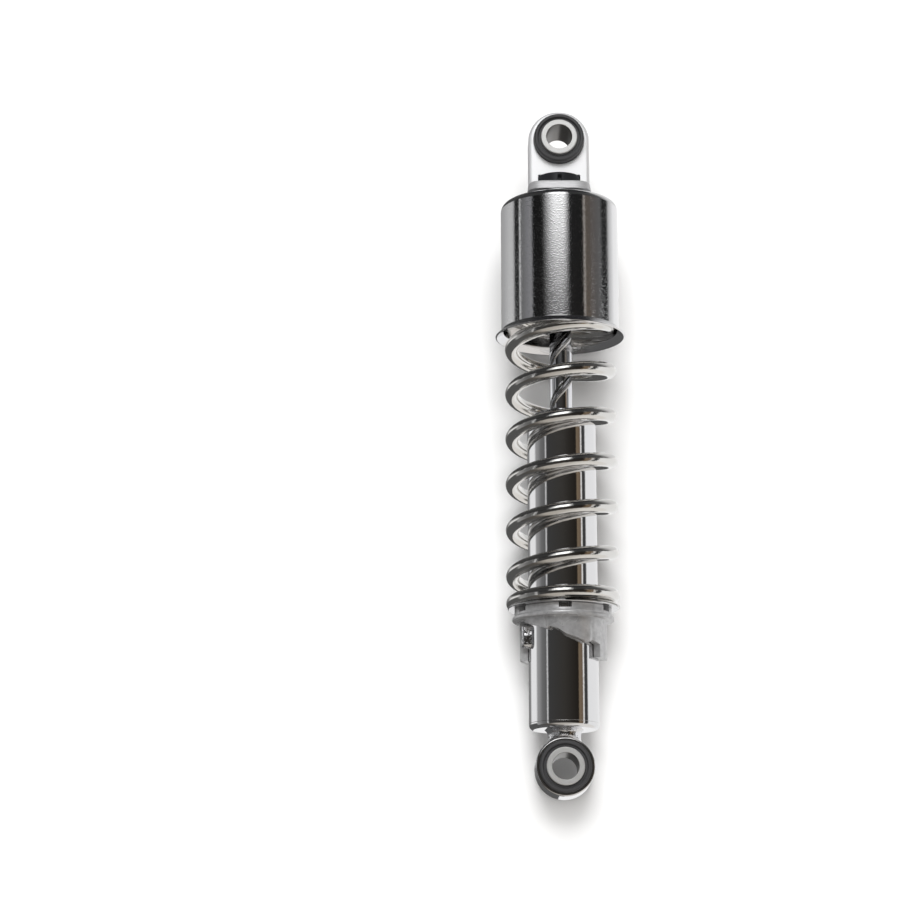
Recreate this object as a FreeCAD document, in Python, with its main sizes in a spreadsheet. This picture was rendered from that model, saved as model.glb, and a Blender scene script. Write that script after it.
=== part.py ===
import FreeCAD
import Part
import math
import os

import Sketcher

# Rear shock absorber of a motorcycle, one of a pair: a twin-tube hydraulic damper inside an
# outside coil spring, with a rubber-bushed eye at each end.  Millimetres.
# Frame: origin at the centre of the lower eye, +Z along the damper to the upper eye, and both
# eye bores along Y.  The unit stands at full extension with the preload cam in its softest notch.

document = FreeCAD.newDocument("rear_shock_absorber")
sheet = document.addObject("Spreadsheet::Sheet", "Sizes")


class Size:
    """A length with its present value and the sheet expression that gives it."""

    def __init__(self, value, text):
        self.value = value
        self.text = text

    def __add__(self, other):
        other = as_size(other)
        return Size(self.value + other.value, f"({self.text} + {other.text})")

    def __radd__(self, other):
        return as_size(other) + self

    def __sub__(self, other):
        other = as_size(other)
        return Size(self.value - other.value, f"({self.text} - {other.text})")

    def __rsub__(self, other):
        return as_size(other) - self

    def __mul__(self, factor):
        return Size(self.value * factor, f"({self.text} * {factor:.9f})")

    def __rmul__(self, factor):
        return self * factor

    def __truediv__(self, divisor):
        return self * (1.0 / divisor)

    def __neg__(self):
        return self * -1.0


def as_size(number):
    if isinstance(number, Size):
        return number
    return Size(float(number), f"({float(number):.6f})")


def driving(name, value):
    """Writes one driving dimension into the sheet and returns it as a Size."""
    driving.row += 1
    sheet.set(f"A{driving.row}", name)
    sheet.set(f"B{driving.row}", str(value))
    sheet.setAlias(f"B{driving.row}", name)
    return Size(float(value), f"Sizes.{name}")


driving.row = 0

# ---- driving dimensions --------------------------------------------------------------------

# the whole unit
eye_to_eye = driving("eye_to_eye", 317.5)

# rubber-bushed eyes: the steel sleeve takes a 12.7 mm stud
stud_bore_radius = driving("stud_bore_radius", 6.45)
sleeve_wall = driving("sleeve_wall", 2.75)
sleeve_length = driving("sleeve_length", 24.0)
bush_wall = driving("bush_wall", 3.4)
bush_setback = driving("bush_setback", 0.7)
bond_gap = driving("bond_gap", 0.05)
groove_depth = driving("groove_depth", 1.1)
groove_width = driving("groove_width", 1.3)
edge_break = driving("edge_break", 0.5)

# lower eye ring, its neck and the bottom of the damper
ring_wall = driving("ring_wall", 1.7)
ring_length = driving("ring_length", 19.0)
neck_waist_radius = driving("neck_waist_radius", 8.0)
neck_flare = driving("neck_flare", 1.6)
neck_length = driving("neck_length", 4.1)

# upper eye block
block_side = driving("block_side", 2.8)
block_thickness = driving("block_thickness", 13.0)
block_bevel = driving("block_bevel", 1.7)
block_drop = driving("block_drop", 28.0)
foot_side = driving("foot_side", 0.8)
foot_wall = driving("foot_wall", 1.5)
foot_height = driving("foot_height", 4.3)
foot_corner = driving("foot_corner", 7.0)
nut_radius = driving("nut_radius", 12.2)
nut_height = driving("nut_height", 9.3)
nut_clearance = driving("nut_clearance", 0.3)
nut_chamfer = driving("nut_chamfer", 0.9)
pin_hole_radius = driving("pin_hole_radius", 1.2)
pin_hole_depth = driving("pin_hole_depth", 3.0)
pin_hole_drop = driving("pin_hole_drop", 2.4)

# damper rod
rod_radius = driving("rod_radius", 5.5)
rod_thread_radius = driving("rod_thread_radius", 5.0)
rod_thread_grip = driving("rod_thread_grip", 4.4)
rod_spigot_radius = driving("rod_spigot_radius", 4.0)
running_gap = driving("running_gap", 0.05)
swivel_gap = driving("swivel_gap", 0.1)

# upper collar, cover, spring seat, isolator and bump stop
collar_height = driving("collar_height", 4.9)
collar_top_radius = driving("collar_top_radius", 15.2)
collar_flare = driving("collar_flare", 1.2)
collar_spigot_radius = driving("collar_spigot_radius", 9.9)
cover_length = driving("cover_length", 69.6)
cover_wall = driving("cover_wall", 1.2)
cover_corner = driving("cover_corner", 3.6)
cover_spring_gap = driving("cover_spring_gap", 0.5)
lip_flare = driving("lip_flare", 3.1)
lip_height = driving("lip_height", 3.2)
upper_seat_thickness = driving("upper_seat_thickness", 1.2)
seat_spigot_wall = driving("seat_spigot_wall", 2.5)
seat_spigot_height = driving("seat_spigot_height", 5.0)
seat_spigot_gap = driving("seat_spigot_gap", 0.5)
isolator_thickness = driving("isolator_thickness", 0.6)
bump_stop_length = driving("bump_stop_length", 28.0)
bump_stop_radius = driving("bump_stop_radius", 11.5)

# coil spring
wire_radius = driving("wire_radius", 3.4)
spring_outer_radius = driving("spring_outer_radius", 27.75)
active_turns = driving("active_turns", 8.25)
closed_turns = driving("closed_turns", 1.35)
closed_coil_gap = driving("closed_coil_gap", 0.15)
ground_depth = driving("ground_depth", 2.9)

# damper body
body_radius = driving("body_radius", 17.0)
body_wall = driving("body_wall", 1.5)
body_length = driving("body_length", 157.6)
shoulder_radius = driving("shoulder_radius", 7.0)
cup_thickness = driving("cup_thickness", 3.0)
cup_edge = driving("cup_edge", 2.2)
cup_spigot = driving("cup_spigot", 4.0)

# followers for the preload cam, welded to the body
lug_base = driving("lug_base", 57.6)
lug_height = driving("lug_height", 11.6)
lug_width = driving("lug_width", 5.0)
lug_proud = driving("lug_proud", 3.9)
lug_sink = driving("lug_sink", 0.4)
lug_angle = driving("lug_angle", 13.0)

# preload cam and lower spring seat
cam_clearance = driving("cam_clearance", 0.35)
cam_step = driving("cam_step", 6.3)
detent_depth = driving("detent_depth", 1.5)
ramp_clearance = driving("ramp_clearance", 0.35)
valley_clearance = driving("valley_clearance", 1.9)
skirt_wall = driving("skirt_wall", 3.8)
stop_depth = driving("stop_depth", 4.4)
flange_web = driving("flange_web", 0.6)
flange_height = driving("flange_height", 1.8)
flange_width = driving("flange_width", 3.6)
spanner_ring_height = driving("spanner_ring_height", 4.1)
spanner_ring_width = driving("spanner_ring_width", 2.55)
spanner_slot_width = driving("spanner_slot_width", 6.3)
spanner_slot_depth = driving("spanner_slot_depth", 2.3)
lower_seat_thickness = driving("lower_seat_thickness", 0.9)
lower_seat_radius = driving("lower_seat_radius", 27.0)

# inside the damper
cylinder_bore_radius = driving("cylinder_bore_radius", 11.5)
cylinder_wall = driving("cylinder_wall", 1.2)
valve_base_height = driving("valve_base_height", 4.0)
valve_spigot_height = driving("valve_spigot_height", 4.4)
valve_base_overhang = driving("valve_base_overhang", 0.8)
valve_bolt_radius = driving("valve_bolt_radius", 3.0)
valve_bolt_head = driving("valve_bolt_head", 3.0)
shim_thickness = driving("shim_thickness", 0.8)
shim_radius = driving("shim_radius", 8.6)
port_radius = driving("port_radius", 1.4)
port_circle_radius = driving("port_circle_radius", 6.6)
piston_height = driving("piston_height", 10.0)
piston_clearance = driving("piston_clearance", 0.35)
piston_ring_height = driving("piston_ring_height", 4.0)
piston_ring_depth = driving("piston_ring_depth", 1.6)
piston_nut_flats = driving("piston_nut_flats", 12.0)
piston_nut_height = driving("piston_nut_height", 5.0)
piston_depth = driving("piston_depth", 20.4)
rebound_stop_height = driving("rebound_stop_height", 6.0)
rebound_stop_radius = driving("rebound_stop_radius", 9.5)
guide_height = driving("guide_height", 9.0)
guide_spigot = driving("guide_spigot", 4.0)
guide_bush_wall = driving("guide_bush_wall", 1.4)
guide_groove = driving("guide_groove", 1.2)
seal_height = driving("seal_height", 5.0)
seal_radius = driving("seal_radius", 12.0)
seal_cap_top = driving("seal_cap_top", 2.0)
wiper_radius = driving("wiper_radius", 8.5)
wiper_stand = driving("wiper_stand", 1.6)

PORT_COUNT = 6
SPANNER_SLOTS = 6
NUT_PIN_HOLES = 4
CAM_PITCH_DEG = 60.0

# ---- levels and radii worked out from them -------------------------------------------------

ZERO = as_size(0)
sleeve_radius = stud_bore_radius + sleeve_wall
bush_bore_radius = sleeve_radius + bond_gap
bush_radius = sleeve_radius + bush_wall
bush_half = sleeve_length / 2 - bush_setback
ring_radius = bush_radius + ring_wall

cup_bottom = ring_radius + neck_length
body_bottom = cup_bottom + cup_thickness
body_top = cup_bottom + body_length
shoulder_base = body_top - shoulder_radius
body_bore_radius = body_radius - body_wall

block_base = eye_to_eye - block_drop
block_half_width = bush_radius + block_side
collar_top = block_base - swivel_gap
cover_top = collar_top - collar_height
cover_inside_top = cover_top - cover_wall
cover_mouth = cover_top - cover_length
cover_bore_radius = spring_outer_radius + cover_spring_gap
cover_radius = cover_bore_radius + cover_wall
isolator_top = cover_inside_top - upper_seat_thickness
spring_top = isolator_top - isolator_thickness
spring_bore_radius = spring_outer_radius - 2 * wire_radius
bump_stop_top = cover_inside_top - upper_seat_thickness - swivel_gap

lug_top = lug_base + lug_height
cam_bore_radius = body_radius + cam_clearance
skirt_radius = cam_bore_radius + skirt_wall
valley_top = lug_top + detent_depth
flange_bottom = valley_top + flange_web
flange_top = flange_bottom + flange_height
cam_top = flange_top + spanner_ring_height
stop_bottom = lug_top - 2 * cam_step - stop_depth
spring_bottom = cam_top + lower_seat_thickness

valve_base = body_bottom + cup_spigot
cylinder_bottom = valve_base + valve_base_height
valve_top = cylinder_bottom + valve_spigot_height
guide_top = shoulder_base - 3.0
guide_bottom = guide_top - guide_height
seal_top = guide_top + seal_height
rod_shoulder = guide_bottom - guide_spigot - piston_depth
piston_top = rod_shoulder - shim_thickness
piston_bottom = piston_top - piston_height
piston_nut_top = piston_bottom - shim_thickness
piston_nut_bottom = piston_nut_top - piston_nut_height

subparts = []


# ---- drawing helpers -----------------------------------------------------------------------

def new_body(name, base_z=None):
    """A body whose origin stands at height base_z on the damper's axis."""
    body = document.addObject("PartDesign::Body", name)
    body.Label = name
    if base_z is not None:
        body.setExpression("Placement.Base.z", base_z.text)
    subparts.append(body)
    return body


def origin_plane(body, role):
    return next(item for item in body.Origin.OriginFeatures if item.Role == role)


def plane_sketch(body, role, turn_deg=None):
    """A sketch on one of the body's own planes, turned about its upright axis if asked."""
    sketch = body.newObject("Sketcher::SketchObject", f"{body.Name}_sketch")
    sketch.AttachmentSupport = [(origin_plane(body, role), "")]
    sketch.MapMode = "FlatFace"
    if turn_deg is not None:
        sketch.AttachmentOffset = FreeCAD.Placement(
            FreeCAD.Vector(0, 0, 0), FreeCAD.Rotation(FreeCAD.Vector(0, 1, 0), turn_deg.value)
        )
        sketch.setExpression("AttachmentOffset.Rotation.Angle", turn_deg.text)
    return sketch


def bind(sketch, kind, members, size):
    index = sketch.addConstraint(Sketcher.Constraint(kind, *members, size.value))
    sketch.setExpression(f"Constraints[{index}]", size.text)


def pin_point(sketch, geometry, end, across, up):
    """Holds one point of the sketch at its two bound distances from the origin."""
    if across is ZERO:
        sketch.addConstraint(Sketcher.Constraint("PointOnObject", geometry, end, -2))
    else:
        bind(sketch, "DistanceX", (-1, 1, geometry, end), across)
    if up is ZERO:
        sketch.addConstraint(Sketcher.Constraint("PointOnObject", geometry, end, -1))
    else:
        bind(sketch, "DistanceY", (-1, 1, geometry, end), up)


def toward(corner, neighbour, distance):
    """The point at a distance from a square corner along the side that leads to a neighbour."""
    across = neighbour[0].value - corner[0].value
    up = neighbour[1].value - corner[1].value
    if abs(across) > abs(up):
        return (corner[0] + math.copysign(1, across) * distance, corner[1])
    return (corner[0], corner[1] + math.copysign(1, up) * distance)


def draw_outline(sketch, corners):
    """Closed outline of straight sides; a corner with a third value is rounded to that radius."""
    stations = []
    count = len(corners)
    for index, corner in enumerate(corners):
        if len(corner) == 2:
            stations.append((corner, corner, None))
            continue
        radius = corner[2]
        before = toward(corner, corners[index - 1], radius)
        after = toward(corner, corners[(index + 1) % count], radius)
        stations.append((before, after, radius))
    for index, (before, after, radius) in enumerate(stations):
        following = stations[(index + 1) % count][0]
        side = sketch.addGeometry(Part.LineSegment(flat(after), flat(following)))
        pin_point(sketch, side, 1, *after[:2])
        pin_point(sketch, side, 2, *following[:2])
    for index, (before, after, radius) in enumerate(stations):
        if radius is not None:
            draw_corner(sketch, corners[index], before, after, radius)


def flat(point):
    return FreeCAD.Vector(point[0].value, point[1].value, 0)


def draw_corner(sketch, corner, before, after, radius):
    centre = flat(before) + flat(after) - flat(corner)
    start = math.atan2(before[1].value - centre.y, before[0].value - centre.x)
    finish = math.atan2(after[1].value - centre.y, after[0].value - centre.x)
    left_turn = (finish - start) % (2 * math.pi) < math.pi
    if not left_turn:
        start, finish = finish, start
        before, after = after, before
    circle = Part.Circle(centre, FreeCAD.Vector(0, 0, 1), radius.value)
    arc = sketch.addGeometry(Part.ArcOfCircle(circle, start, finish))
    pin_point(sketch, arc, 1, *before)
    pin_point(sketch, arc, 2, *after)
    bind(sketch, "Radius", (arc,), radius)


def revolve(body, outline, role="XZ_Plane"):
    """Turns an outline of (radius, height) corners about the sketch's upright axis."""
    sketch = plane_sketch(body, role)
    draw_outline(sketch, outline)
    turned = body.newObject("PartDesign::Revolution", f"{body.Name}_turned")
    turned.Profile = sketch
    turned.ReferenceAxis = (sketch, ["V_Axis"])
    turned.Angle = 360
    document.recompute()
    return turned


def turned_cut(body, outline, role="XZ_Plane"):
    sketch = plane_sketch(body, role)
    draw_outline(sketch, outline)
    groove = body.newObject("PartDesign::Groove", f"{body.Name}_groove")
    groove.Profile = sketch
    groove.ReferenceAxis = (sketch, ["V_Axis"])
    groove.Angle = 360
    document.recompute()
    return groove


def pattern_about_axis(body, feature, sketch, count):
    pattern = body.newObject("PartDesign::PolarPattern", f"{body.Name}_pattern")
    pattern.Originals = [feature]
    pattern.Axis = (sketch, ["V_Axis"])
    pattern.Angle = 360
    pattern.Occurrences = count
    body.Tip = pattern
    document.recompute()
    return pattern


def ring_outline(inner, outer, bottom, top):
    return [(inner, bottom), (outer, bottom), (outer, top), (inner, top)]


def turned_part(name, outline):
    """A piece turned about the damper's axis."""
    body = new_body(name)
    revolve(body, outline)
    return body


def eye_part(name, outline, centre_z):
    """A piece turned about the axis of an eye, which runs along Y at height centre_z."""
    body = new_body(name, centre_z)
    revolve(body, outline, role="XY_Plane")
    return body


# ---- eyes ----------------------------------------------------------------------------------

def make_sleeve(name, centre_z):
    """Steel sleeve that is clamped on the frame's stud."""
    half = sleeve_length / 2
    outline = [
        (stud_bore_radius, -half),
        (sleeve_radius, -half, edge_break),
        (sleeve_radius, half, edge_break),
        (stud_bore_radius, half),
    ]
    eye_part(name, outline, centre_z)


def make_bush(name, centre_z):
    """Rubber bush with a moulded groove round the sleeve at both ends."""
    groove_radius = bush_bore_radius + groove_width
    groove_floor = bush_half - groove_depth
    outline = [
        (bush_bore_radius, -groove_floor),
        (groove_radius, -groove_floor),
        (groove_radius, -bush_half),
        (bush_radius, -bush_half, edge_break),
        (bush_radius, bush_half, edge_break),
        (groove_radius, bush_half),
        (groove_radius, groove_floor),
        (bush_bore_radius, groove_floor),
    ]
    eye_part(name, outline, centre_z)


def make_lower_eye():
    """Steel ring that holds the lower bush."""
    half = ring_length / 2
    outline = [
        (bush_radius, -half),
        (ring_radius, -half, edge_break),
        (ring_radius, half, edge_break),
        (bush_radius, half),
    ]
    eye_part("lower_eye", outline, ZERO)


def make_lower_neck():
    """Short waisted neck welded between the ring and the bottom cup."""
    body = new_body("lower_neck")
    waist = ring_radius + neck_length / 2
    wide = neck_waist_radius + neck_flare
    outline = [
        (ZERO, bush_radius),
        (wide, bush_radius),
        (wide, ring_radius - neck_flare),
        (neck_waist_radius, waist - neck_flare / 2),
        (neck_waist_radius, waist + neck_flare / 2),
        (wide, cup_bottom),
        (ZERO, cup_bottom),
    ]
    revolve(body, outline)
    reach = neck_waist_radius + 2 * neck_flare
    turned_cut(body, [(ZERO, -reach), (ring_radius, -reach), (ring_radius, reach), (ZERO, reach)], "XY_Plane")


def make_upper_eye():
    """Forged aluminium block with an arched top and a broad foot, open below for the locknut."""
    body = new_body("upper_eye", eye_to_eye)
    sketch = plane_sketch(body, "XZ_Plane")
    half_width = block_half_width
    right = FreeCAD.Vector(half_width.value, 0, 0)
    left = FreeCAD.Vector(-half_width.value, 0, 0)
    down = FreeCAD.Vector(0, -block_drop.value, 0)
    arch = Part.ArcOfCircle(Part.Circle(FreeCAD.Vector(0, 0, 0), FreeCAD.Vector(0, 0, 1), half_width.value), 0, math.pi)
    sides = [Part.LineSegment(left, left + down), Part.LineSegment(left + down, right + down),
             Part.LineSegment(right + down, right)]
    arc = sketch.addGeometry(arch)
    lines = [sketch.addGeometry(side) for side in sides]
    sketch.addConstraint(Sketcher.Constraint("Coincident", arc, 3, -1, 1))
    sketch.addConstraint(Sketcher.Constraint("PointOnObject", arc, 1, -1))
    sketch.addConstraint(Sketcher.Constraint("PointOnObject", arc, 2, -1))
    bind(sketch, "Radius", (arc,), half_width)
    places = [(-half_width, ZERO), (-half_width, -block_drop), (half_width, -block_drop), (half_width, ZERO)]
    for line, start, finish in zip(lines, places, places[1:]):
        pin_point(sketch, line, 1, *start)
        pin_point(sketch, line, 2, *finish)
    pad = body.newObject("PartDesign::Pad", "upper_eye_block")
    pad.Profile = sketch
    pad.Midplane = True
    pad.setExpression("Length", block_thickness.text)
    document.recompute()
    chamfer = body.newObject("PartDesign::Chamfer", "upper_eye_bevel")
    chamfer.Base = (pad, outline_edges(pad.Shape))
    chamfer.setExpression("Size", block_bevel.text)
    document.recompute()
    nut_room = nut_radius + nut_clearance
    add_foot(body, block_half_width + foot_side, nut_room + foot_wall)
    bore_reach = block_thickness
    turned_cut(body, [(ZERO, -bore_reach), (bush_radius, -bore_reach), (bush_radius, bore_reach),
                      (ZERO, bore_reach)], "XY_Plane")
    nut_ceiling = nut_height + nut_clearance - block_drop
    below = -block_drop - 1
    thread_end = nut_ceiling + rod_thread_grip + nut_clearance
    turned_cut(body, [
        (ZERO, below), (nut_room, below), (nut_room, nut_ceiling), (rod_thread_radius, nut_ceiling),
        (rod_thread_radius, thread_end), (ZERO, thread_end),
    ])


def add_foot(body, half_width, half_depth):
    """Rounded foot round the block's base, which hides the lower part of the locknut."""
    sketch = plane_sketch(body, "XY_Plane")
    sketch.AttachmentOffset = FreeCAD.Placement(FreeCAD.Vector(0, 0, -block_drop.value), FreeCAD.Rotation())
    sketch.setExpression("AttachmentOffset.Base.z", (-block_drop).text)
    draw_outline(sketch, [
        (-half_width, -half_depth, foot_corner), (half_width, -half_depth, foot_corner),
        (half_width, half_depth, foot_corner), (-half_width, half_depth, foot_corner),
    ])
    foot = body.newObject("PartDesign::Pad", "upper_eye_foot")
    foot.Profile = sketch
    foot.setExpression("Length", foot_height.text)
    document.recompute()


def outline_edges(shape):
    """The edges round the front and back faces, without the two along the base."""
    names = []
    face_y = shape.BoundBox.YMax
    base_z = shape.BoundBox.ZMin
    for number, edge in enumerate(shape.Edges, start=1):
        box = edge.BoundBox
        on_face = box.YLength < 1e-6 and abs(abs(box.YMax) - face_y) < 1e-6
        on_base = box.ZMax < base_z + 1e-6
        if on_face and not on_base:
            names.append(f"Edge{number}")
    return names


def make_locknut():
    """Round black locknut with radial holes for a pin spanner."""
    body = new_body("locknut")
    bottom = block_base
    top = bottom + nut_height
    revolve(body, [
        (rod_thread_radius, bottom), (nut_radius, bottom), (nut_radius, top - nut_chamfer),
        (nut_radius - nut_chamfer, top), (rod_thread_radius, top),
    ])
    sketch = plane_sketch(body, "XZ_Plane")
    middle = top - pin_hole_drop
    circle = Part.Circle(FreeCAD.Vector(0, middle.value, 0), FreeCAD.Vector(0, 0, 1), pin_hole_radius.value)
    hole = sketch.addGeometry(circle)
    pin_point(sketch, hole, 3, ZERO, middle)
    bind(sketch, "Radius", (hole,), pin_hole_radius)
    pocket = body.newObject("PartDesign::Pocket", "locknut_pin_hole")
    sketch.AttachmentOffset = FreeCAD.Placement(FreeCAD.Vector(0, 0, nut_radius.value), FreeCAD.Rotation())
    sketch.setExpression("AttachmentOffset.Base.z", nut_radius.text)
    pocket.Profile = sketch
    pocket.setExpression("Length", pin_hole_depth.text)
    document.recompute()
    pattern_about_axis(body, pocket, sketch, NUT_PIN_HOLES)


# ---- rod and piston ------------------------------------------------------------------------

def make_rod_parts():
    thread_end = block_base + nut_height + nut_clearance + rod_thread_grip
    rod_end = piston_nut_bottom - 1
    turned_part("damper_rod", [
        (ZERO, rod_end), (rod_spigot_radius, rod_end), (rod_spigot_radius, rod_shoulder),
        (rod_radius, rod_shoulder), (rod_radius, collar_top), (rod_thread_radius, collar_top),
        (rod_thread_radius, thread_end), (ZERO, thread_end),
    ])
    stop_base = rod_shoulder + 1
    stop_top = stop_base + rebound_stop_height
    turned_part("rebound_stop", [
        (rod_radius, stop_base), (rebound_stop_radius, stop_base, edge_break),
        (rebound_stop_radius, stop_top, edge_break), (rod_radius, stop_top),
    ])
    turned_part("compression_shims", ring_outline(rod_spigot_radius, shim_radius, piston_top, rod_shoulder))
    ring_bottom = piston_bottom + (piston_height - piston_ring_height) / 2
    ring_top = ring_bottom + piston_ring_height
    piston_radius = cylinder_bore_radius - piston_clearance
    ring_seat = piston_radius - piston_ring_depth
    piston = turned_part("piston", [
        (rod_spigot_radius, piston_bottom), (piston_radius, piston_bottom), (piston_radius, ring_bottom),
        (ring_seat, ring_bottom), (ring_seat, ring_top), (piston_radius, ring_top),
        (piston_radius, piston_top), (rod_spigot_radius, piston_top),
    ])
    drill_ports(piston, piston_top, piston_height)
    turned_part("piston_ring", ring_outline(ring_seat, cylinder_bore_radius - running_gap, ring_bottom, ring_top))
    turned_part("rebound_shims", ring_outline(rod_spigot_radius, shim_radius, piston_nut_top, piston_bottom))
    make_hex_nut("piston_nut", piston_nut_bottom, piston_nut_height, piston_nut_flats, rod_spigot_radius)


def drill_ports(body, top, depth):
    """A circle of oil ports right through a disc."""
    sketch = plane_sketch(body, "XY_Plane")
    sketch.AttachmentOffset = FreeCAD.Placement(FreeCAD.Vector(0, 0, top.value), FreeCAD.Rotation())
    sketch.setExpression("AttachmentOffset.Base.z", top.text)
    for number in range(PORT_COUNT):
        angle = 2 * math.pi * number / PORT_COUNT
        across = port_circle_radius * math.cos(angle)
        up = port_circle_radius * math.sin(angle) if number % (PORT_COUNT // 2) else ZERO
        centre = FreeCAD.Vector(across.value, up.value, 0)
        port = sketch.addGeometry(Part.Circle(centre, FreeCAD.Vector(0, 0, 1), port_radius.value))
        pin_point(sketch, port, 3, across, up)
        bind(sketch, "Radius", (port,), port_radius)
    pocket = body.newObject("PartDesign::Pocket", f"{body.Name}_ports")
    pocket.Profile = sketch
    pocket.setExpression("Length", depth.text)
    document.recompute()


def make_hex_nut(name, bottom, height, across_flats, bore_radius):
    """A hexagon with a round bore."""
    body = new_body(name, bottom)
    sketch = plane_sketch(body, "XY_Plane")
    corner_radius = across_flats / math.sqrt(3)
    corners = []
    for number in range(6):
        angle = math.radians(60 * number)
        across = corner_radius * math.cos(angle)
        up = corner_radius * math.sin(angle) if number % 3 else ZERO
        corners.append((across, up))
    draw_outline(sketch, corners)
    bore = sketch.addGeometry(Part.Circle(FreeCAD.Vector(0, 0, 0), FreeCAD.Vector(0, 0, 1), bore_radius.value))
    sketch.addConstraint(Sketcher.Constraint("Coincident", bore, 3, -1, 1))
    bind(sketch, "Radius", (bore,), bore_radius)
    pad = body.newObject("PartDesign::Pad", f"{name}_hexagon")
    pad.Profile = sketch
    pad.setExpression("Length", height.text)
    document.recompute()


# ---- cover, spring and seats ---------------------------------------------------------------

def make_cover_parts():
    bore = rod_radius + running_gap
    mid = cover_top + collar_height * 0.35
    turned_part("upper_collar", [
        (bore, cover_inside_top), (collar_spigot_radius, cover_inside_top), (collar_spigot_radius, cover_top),
        (collar_top_radius + collar_flare, cover_top), (collar_top_radius + collar_flare * 0.8, mid),
        (collar_top_radius + collar_flare * 0.25, mid + collar_height * 0.3),
        (collar_top_radius, collar_top - edge_break), (collar_top_radius, collar_top), (bore, collar_top),
    ])
    lip_root = cover_mouth + lip_height
    lip_middle = cover_mouth + lip_height * 0.35
    lip_radius = cover_radius + lip_flare
    turned_part("spring_cover", [
        (collar_spigot_radius, cover_inside_top), (cover_bore_radius, cover_inside_top, cover_corner - cover_wall),
        (cover_bore_radius, lip_root), (cover_bore_radius + lip_flare * 0.3, lip_middle),
        (lip_radius - edge_break, cover_mouth), (lip_radius, cover_mouth + edge_break),
        (cover_radius + lip_flare * 0.3, lip_middle + cover_wall), (cover_radius, lip_root),
        (cover_radius, cover_top, cover_corner), (collar_spigot_radius, cover_top),
    ])
    spigot_radius = spring_bore_radius - seat_spigot_gap
    spigot_bore = spigot_radius - seat_spigot_wall
    spigot_end = isolator_top - seat_spigot_height
    seat_radius = cover_bore_radius - (cover_corner - cover_wall)
    turned_part("upper_spring_seat", [
        (bore, isolator_top), (spigot_bore, isolator_top), (spigot_bore, spigot_end),
        (spigot_radius, spigot_end), (spigot_radius, isolator_top), (seat_radius, isolator_top),
        (seat_radius, cover_inside_top), (bore, cover_inside_top),
    ])
    isolator_radius = spring_outer_radius - edge_break
    turned_part("spring_isolator", ring_outline(spigot_radius, isolator_radius, spring_top, isolator_top))
    stop_bottom_level = bump_stop_top - bump_stop_length
    waist = bump_stop_top - bump_stop_length * 0.5
    slim = bump_stop_radius - 2.2
    turned_part("bump_stop", [
        (rod_radius, stop_bottom_level), (slim - 1.2, stop_bottom_level), (slim, stop_bottom_level + 6),
        (slim - 1.5, waist - 1.5), (slim - 1.5, waist + 1.5), (bump_stop_radius, bump_stop_top - 6),
        (bump_stop_radius, bump_stop_top), (rod_radius, bump_stop_top),
    ])


def helix_run(radius, start_z, start_turn, turns, pitch):
    """One stretch of right-handed helix that starts after start_turn turns from the front."""
    run = Part.makeHelix(pitch, pitch * turns, radius)
    run.rotate(FreeCAD.Vector(0, 0, 0), FreeCAD.Vector(0, 0, 1), 360 * start_turn - 90)
    run.translate(FreeCAD.Vector(0, 0, start_z))
    return run


def make_coil_spring():
    """Round wire wound right-handed, closed and ground flat at both ends."""
    spring = document.addObject("Part::Feature", "coil_spring")
    spring.Label = "coil_spring"
    wire = float(sheet.wire_radius)
    radius = float(sheet.spring_outer_radius) - wire
    closed = float(sheet.closed_turns)
    active = float(sheet.active_turns)
    closed_pitch = 2 * wire + float(sheet.closed_coil_gap)
    sunk = float(sheet.ground_depth)
    start_z = spring_bottom.value - wire + (wire - sunk)
    end_z = spring_top.value + wire - (wire - sunk)
    active_pitch = (end_z - start_z - 2 * closed * closed_pitch) / active
    runs = []
    level = start_z
    turned = 0.0
    for turns, pitch in ((closed, closed_pitch), (active, active_pitch), (closed, closed_pitch)):
        runs.append(helix_run(radius, level, turned, turns, pitch))
        level += turns * pitch
        turned += turns
    path = Part.Wire([edge for run in runs for edge in run.Edges])
    first = path.Edges[0]
    section = Part.Wire([Part.makeCircle(wire, first.valueAt(first.FirstParameter), first.tangentAt(first.FirstParameter))])
    wound = path.makePipeShell([section], True, True)
    if not wound.isValid() or wound.Volume < 0:
        wound = Part.makeSolid(wound.Shells[0])
    length = spring_top.value - spring_bottom.value
    ground = Part.makeCylinder(radius + 3 * wire, length, FreeCAD.Vector(0, 0, spring_bottom.value))
    spring.Shape = wound.common(ground)
    spring.Placement = FreeCAD.Placement()
    subparts.append(spring)


def make_lower_seat():
    """Thin pressed washer with a low spigot that centres the spring."""
    bore = cam_bore_radius
    spigot_radius = spring_bore_radius - seat_spigot_gap
    spigot_top = spring_bottom + seat_spigot_height / 2
    turned_part("lower_spring_seat", [
        (bore, cam_top), (lower_seat_radius, cam_top), (lower_seat_radius, spring_bottom),
        (spigot_radius, spring_bottom), (spigot_radius, spigot_top), (bore, spigot_top),
    ])


# ---- preload cam ---------------------------------------------------------------------------

def lug_path(turn_deg):
    """Height of a follower's top against the cam, turn_deg on from the softest notch."""
    return lug_top - cam_step * (turn_deg / CAM_PITCH_DEG)


def ramp_point(turn_deg, rise=0.0):
    """A point of the ramp's edge, seen from the front, just clear of the follower's corner."""
    place = math.radians(turn_deg - 90)
    reach = body_radius if place < 0 else skirt_radius
    across = reach * math.sin(place) + lug_width * (math.cos(place) / 2) + ramp_clearance
    return (across, lug_path(turn_deg) + ramp_clearance + rise)


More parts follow.
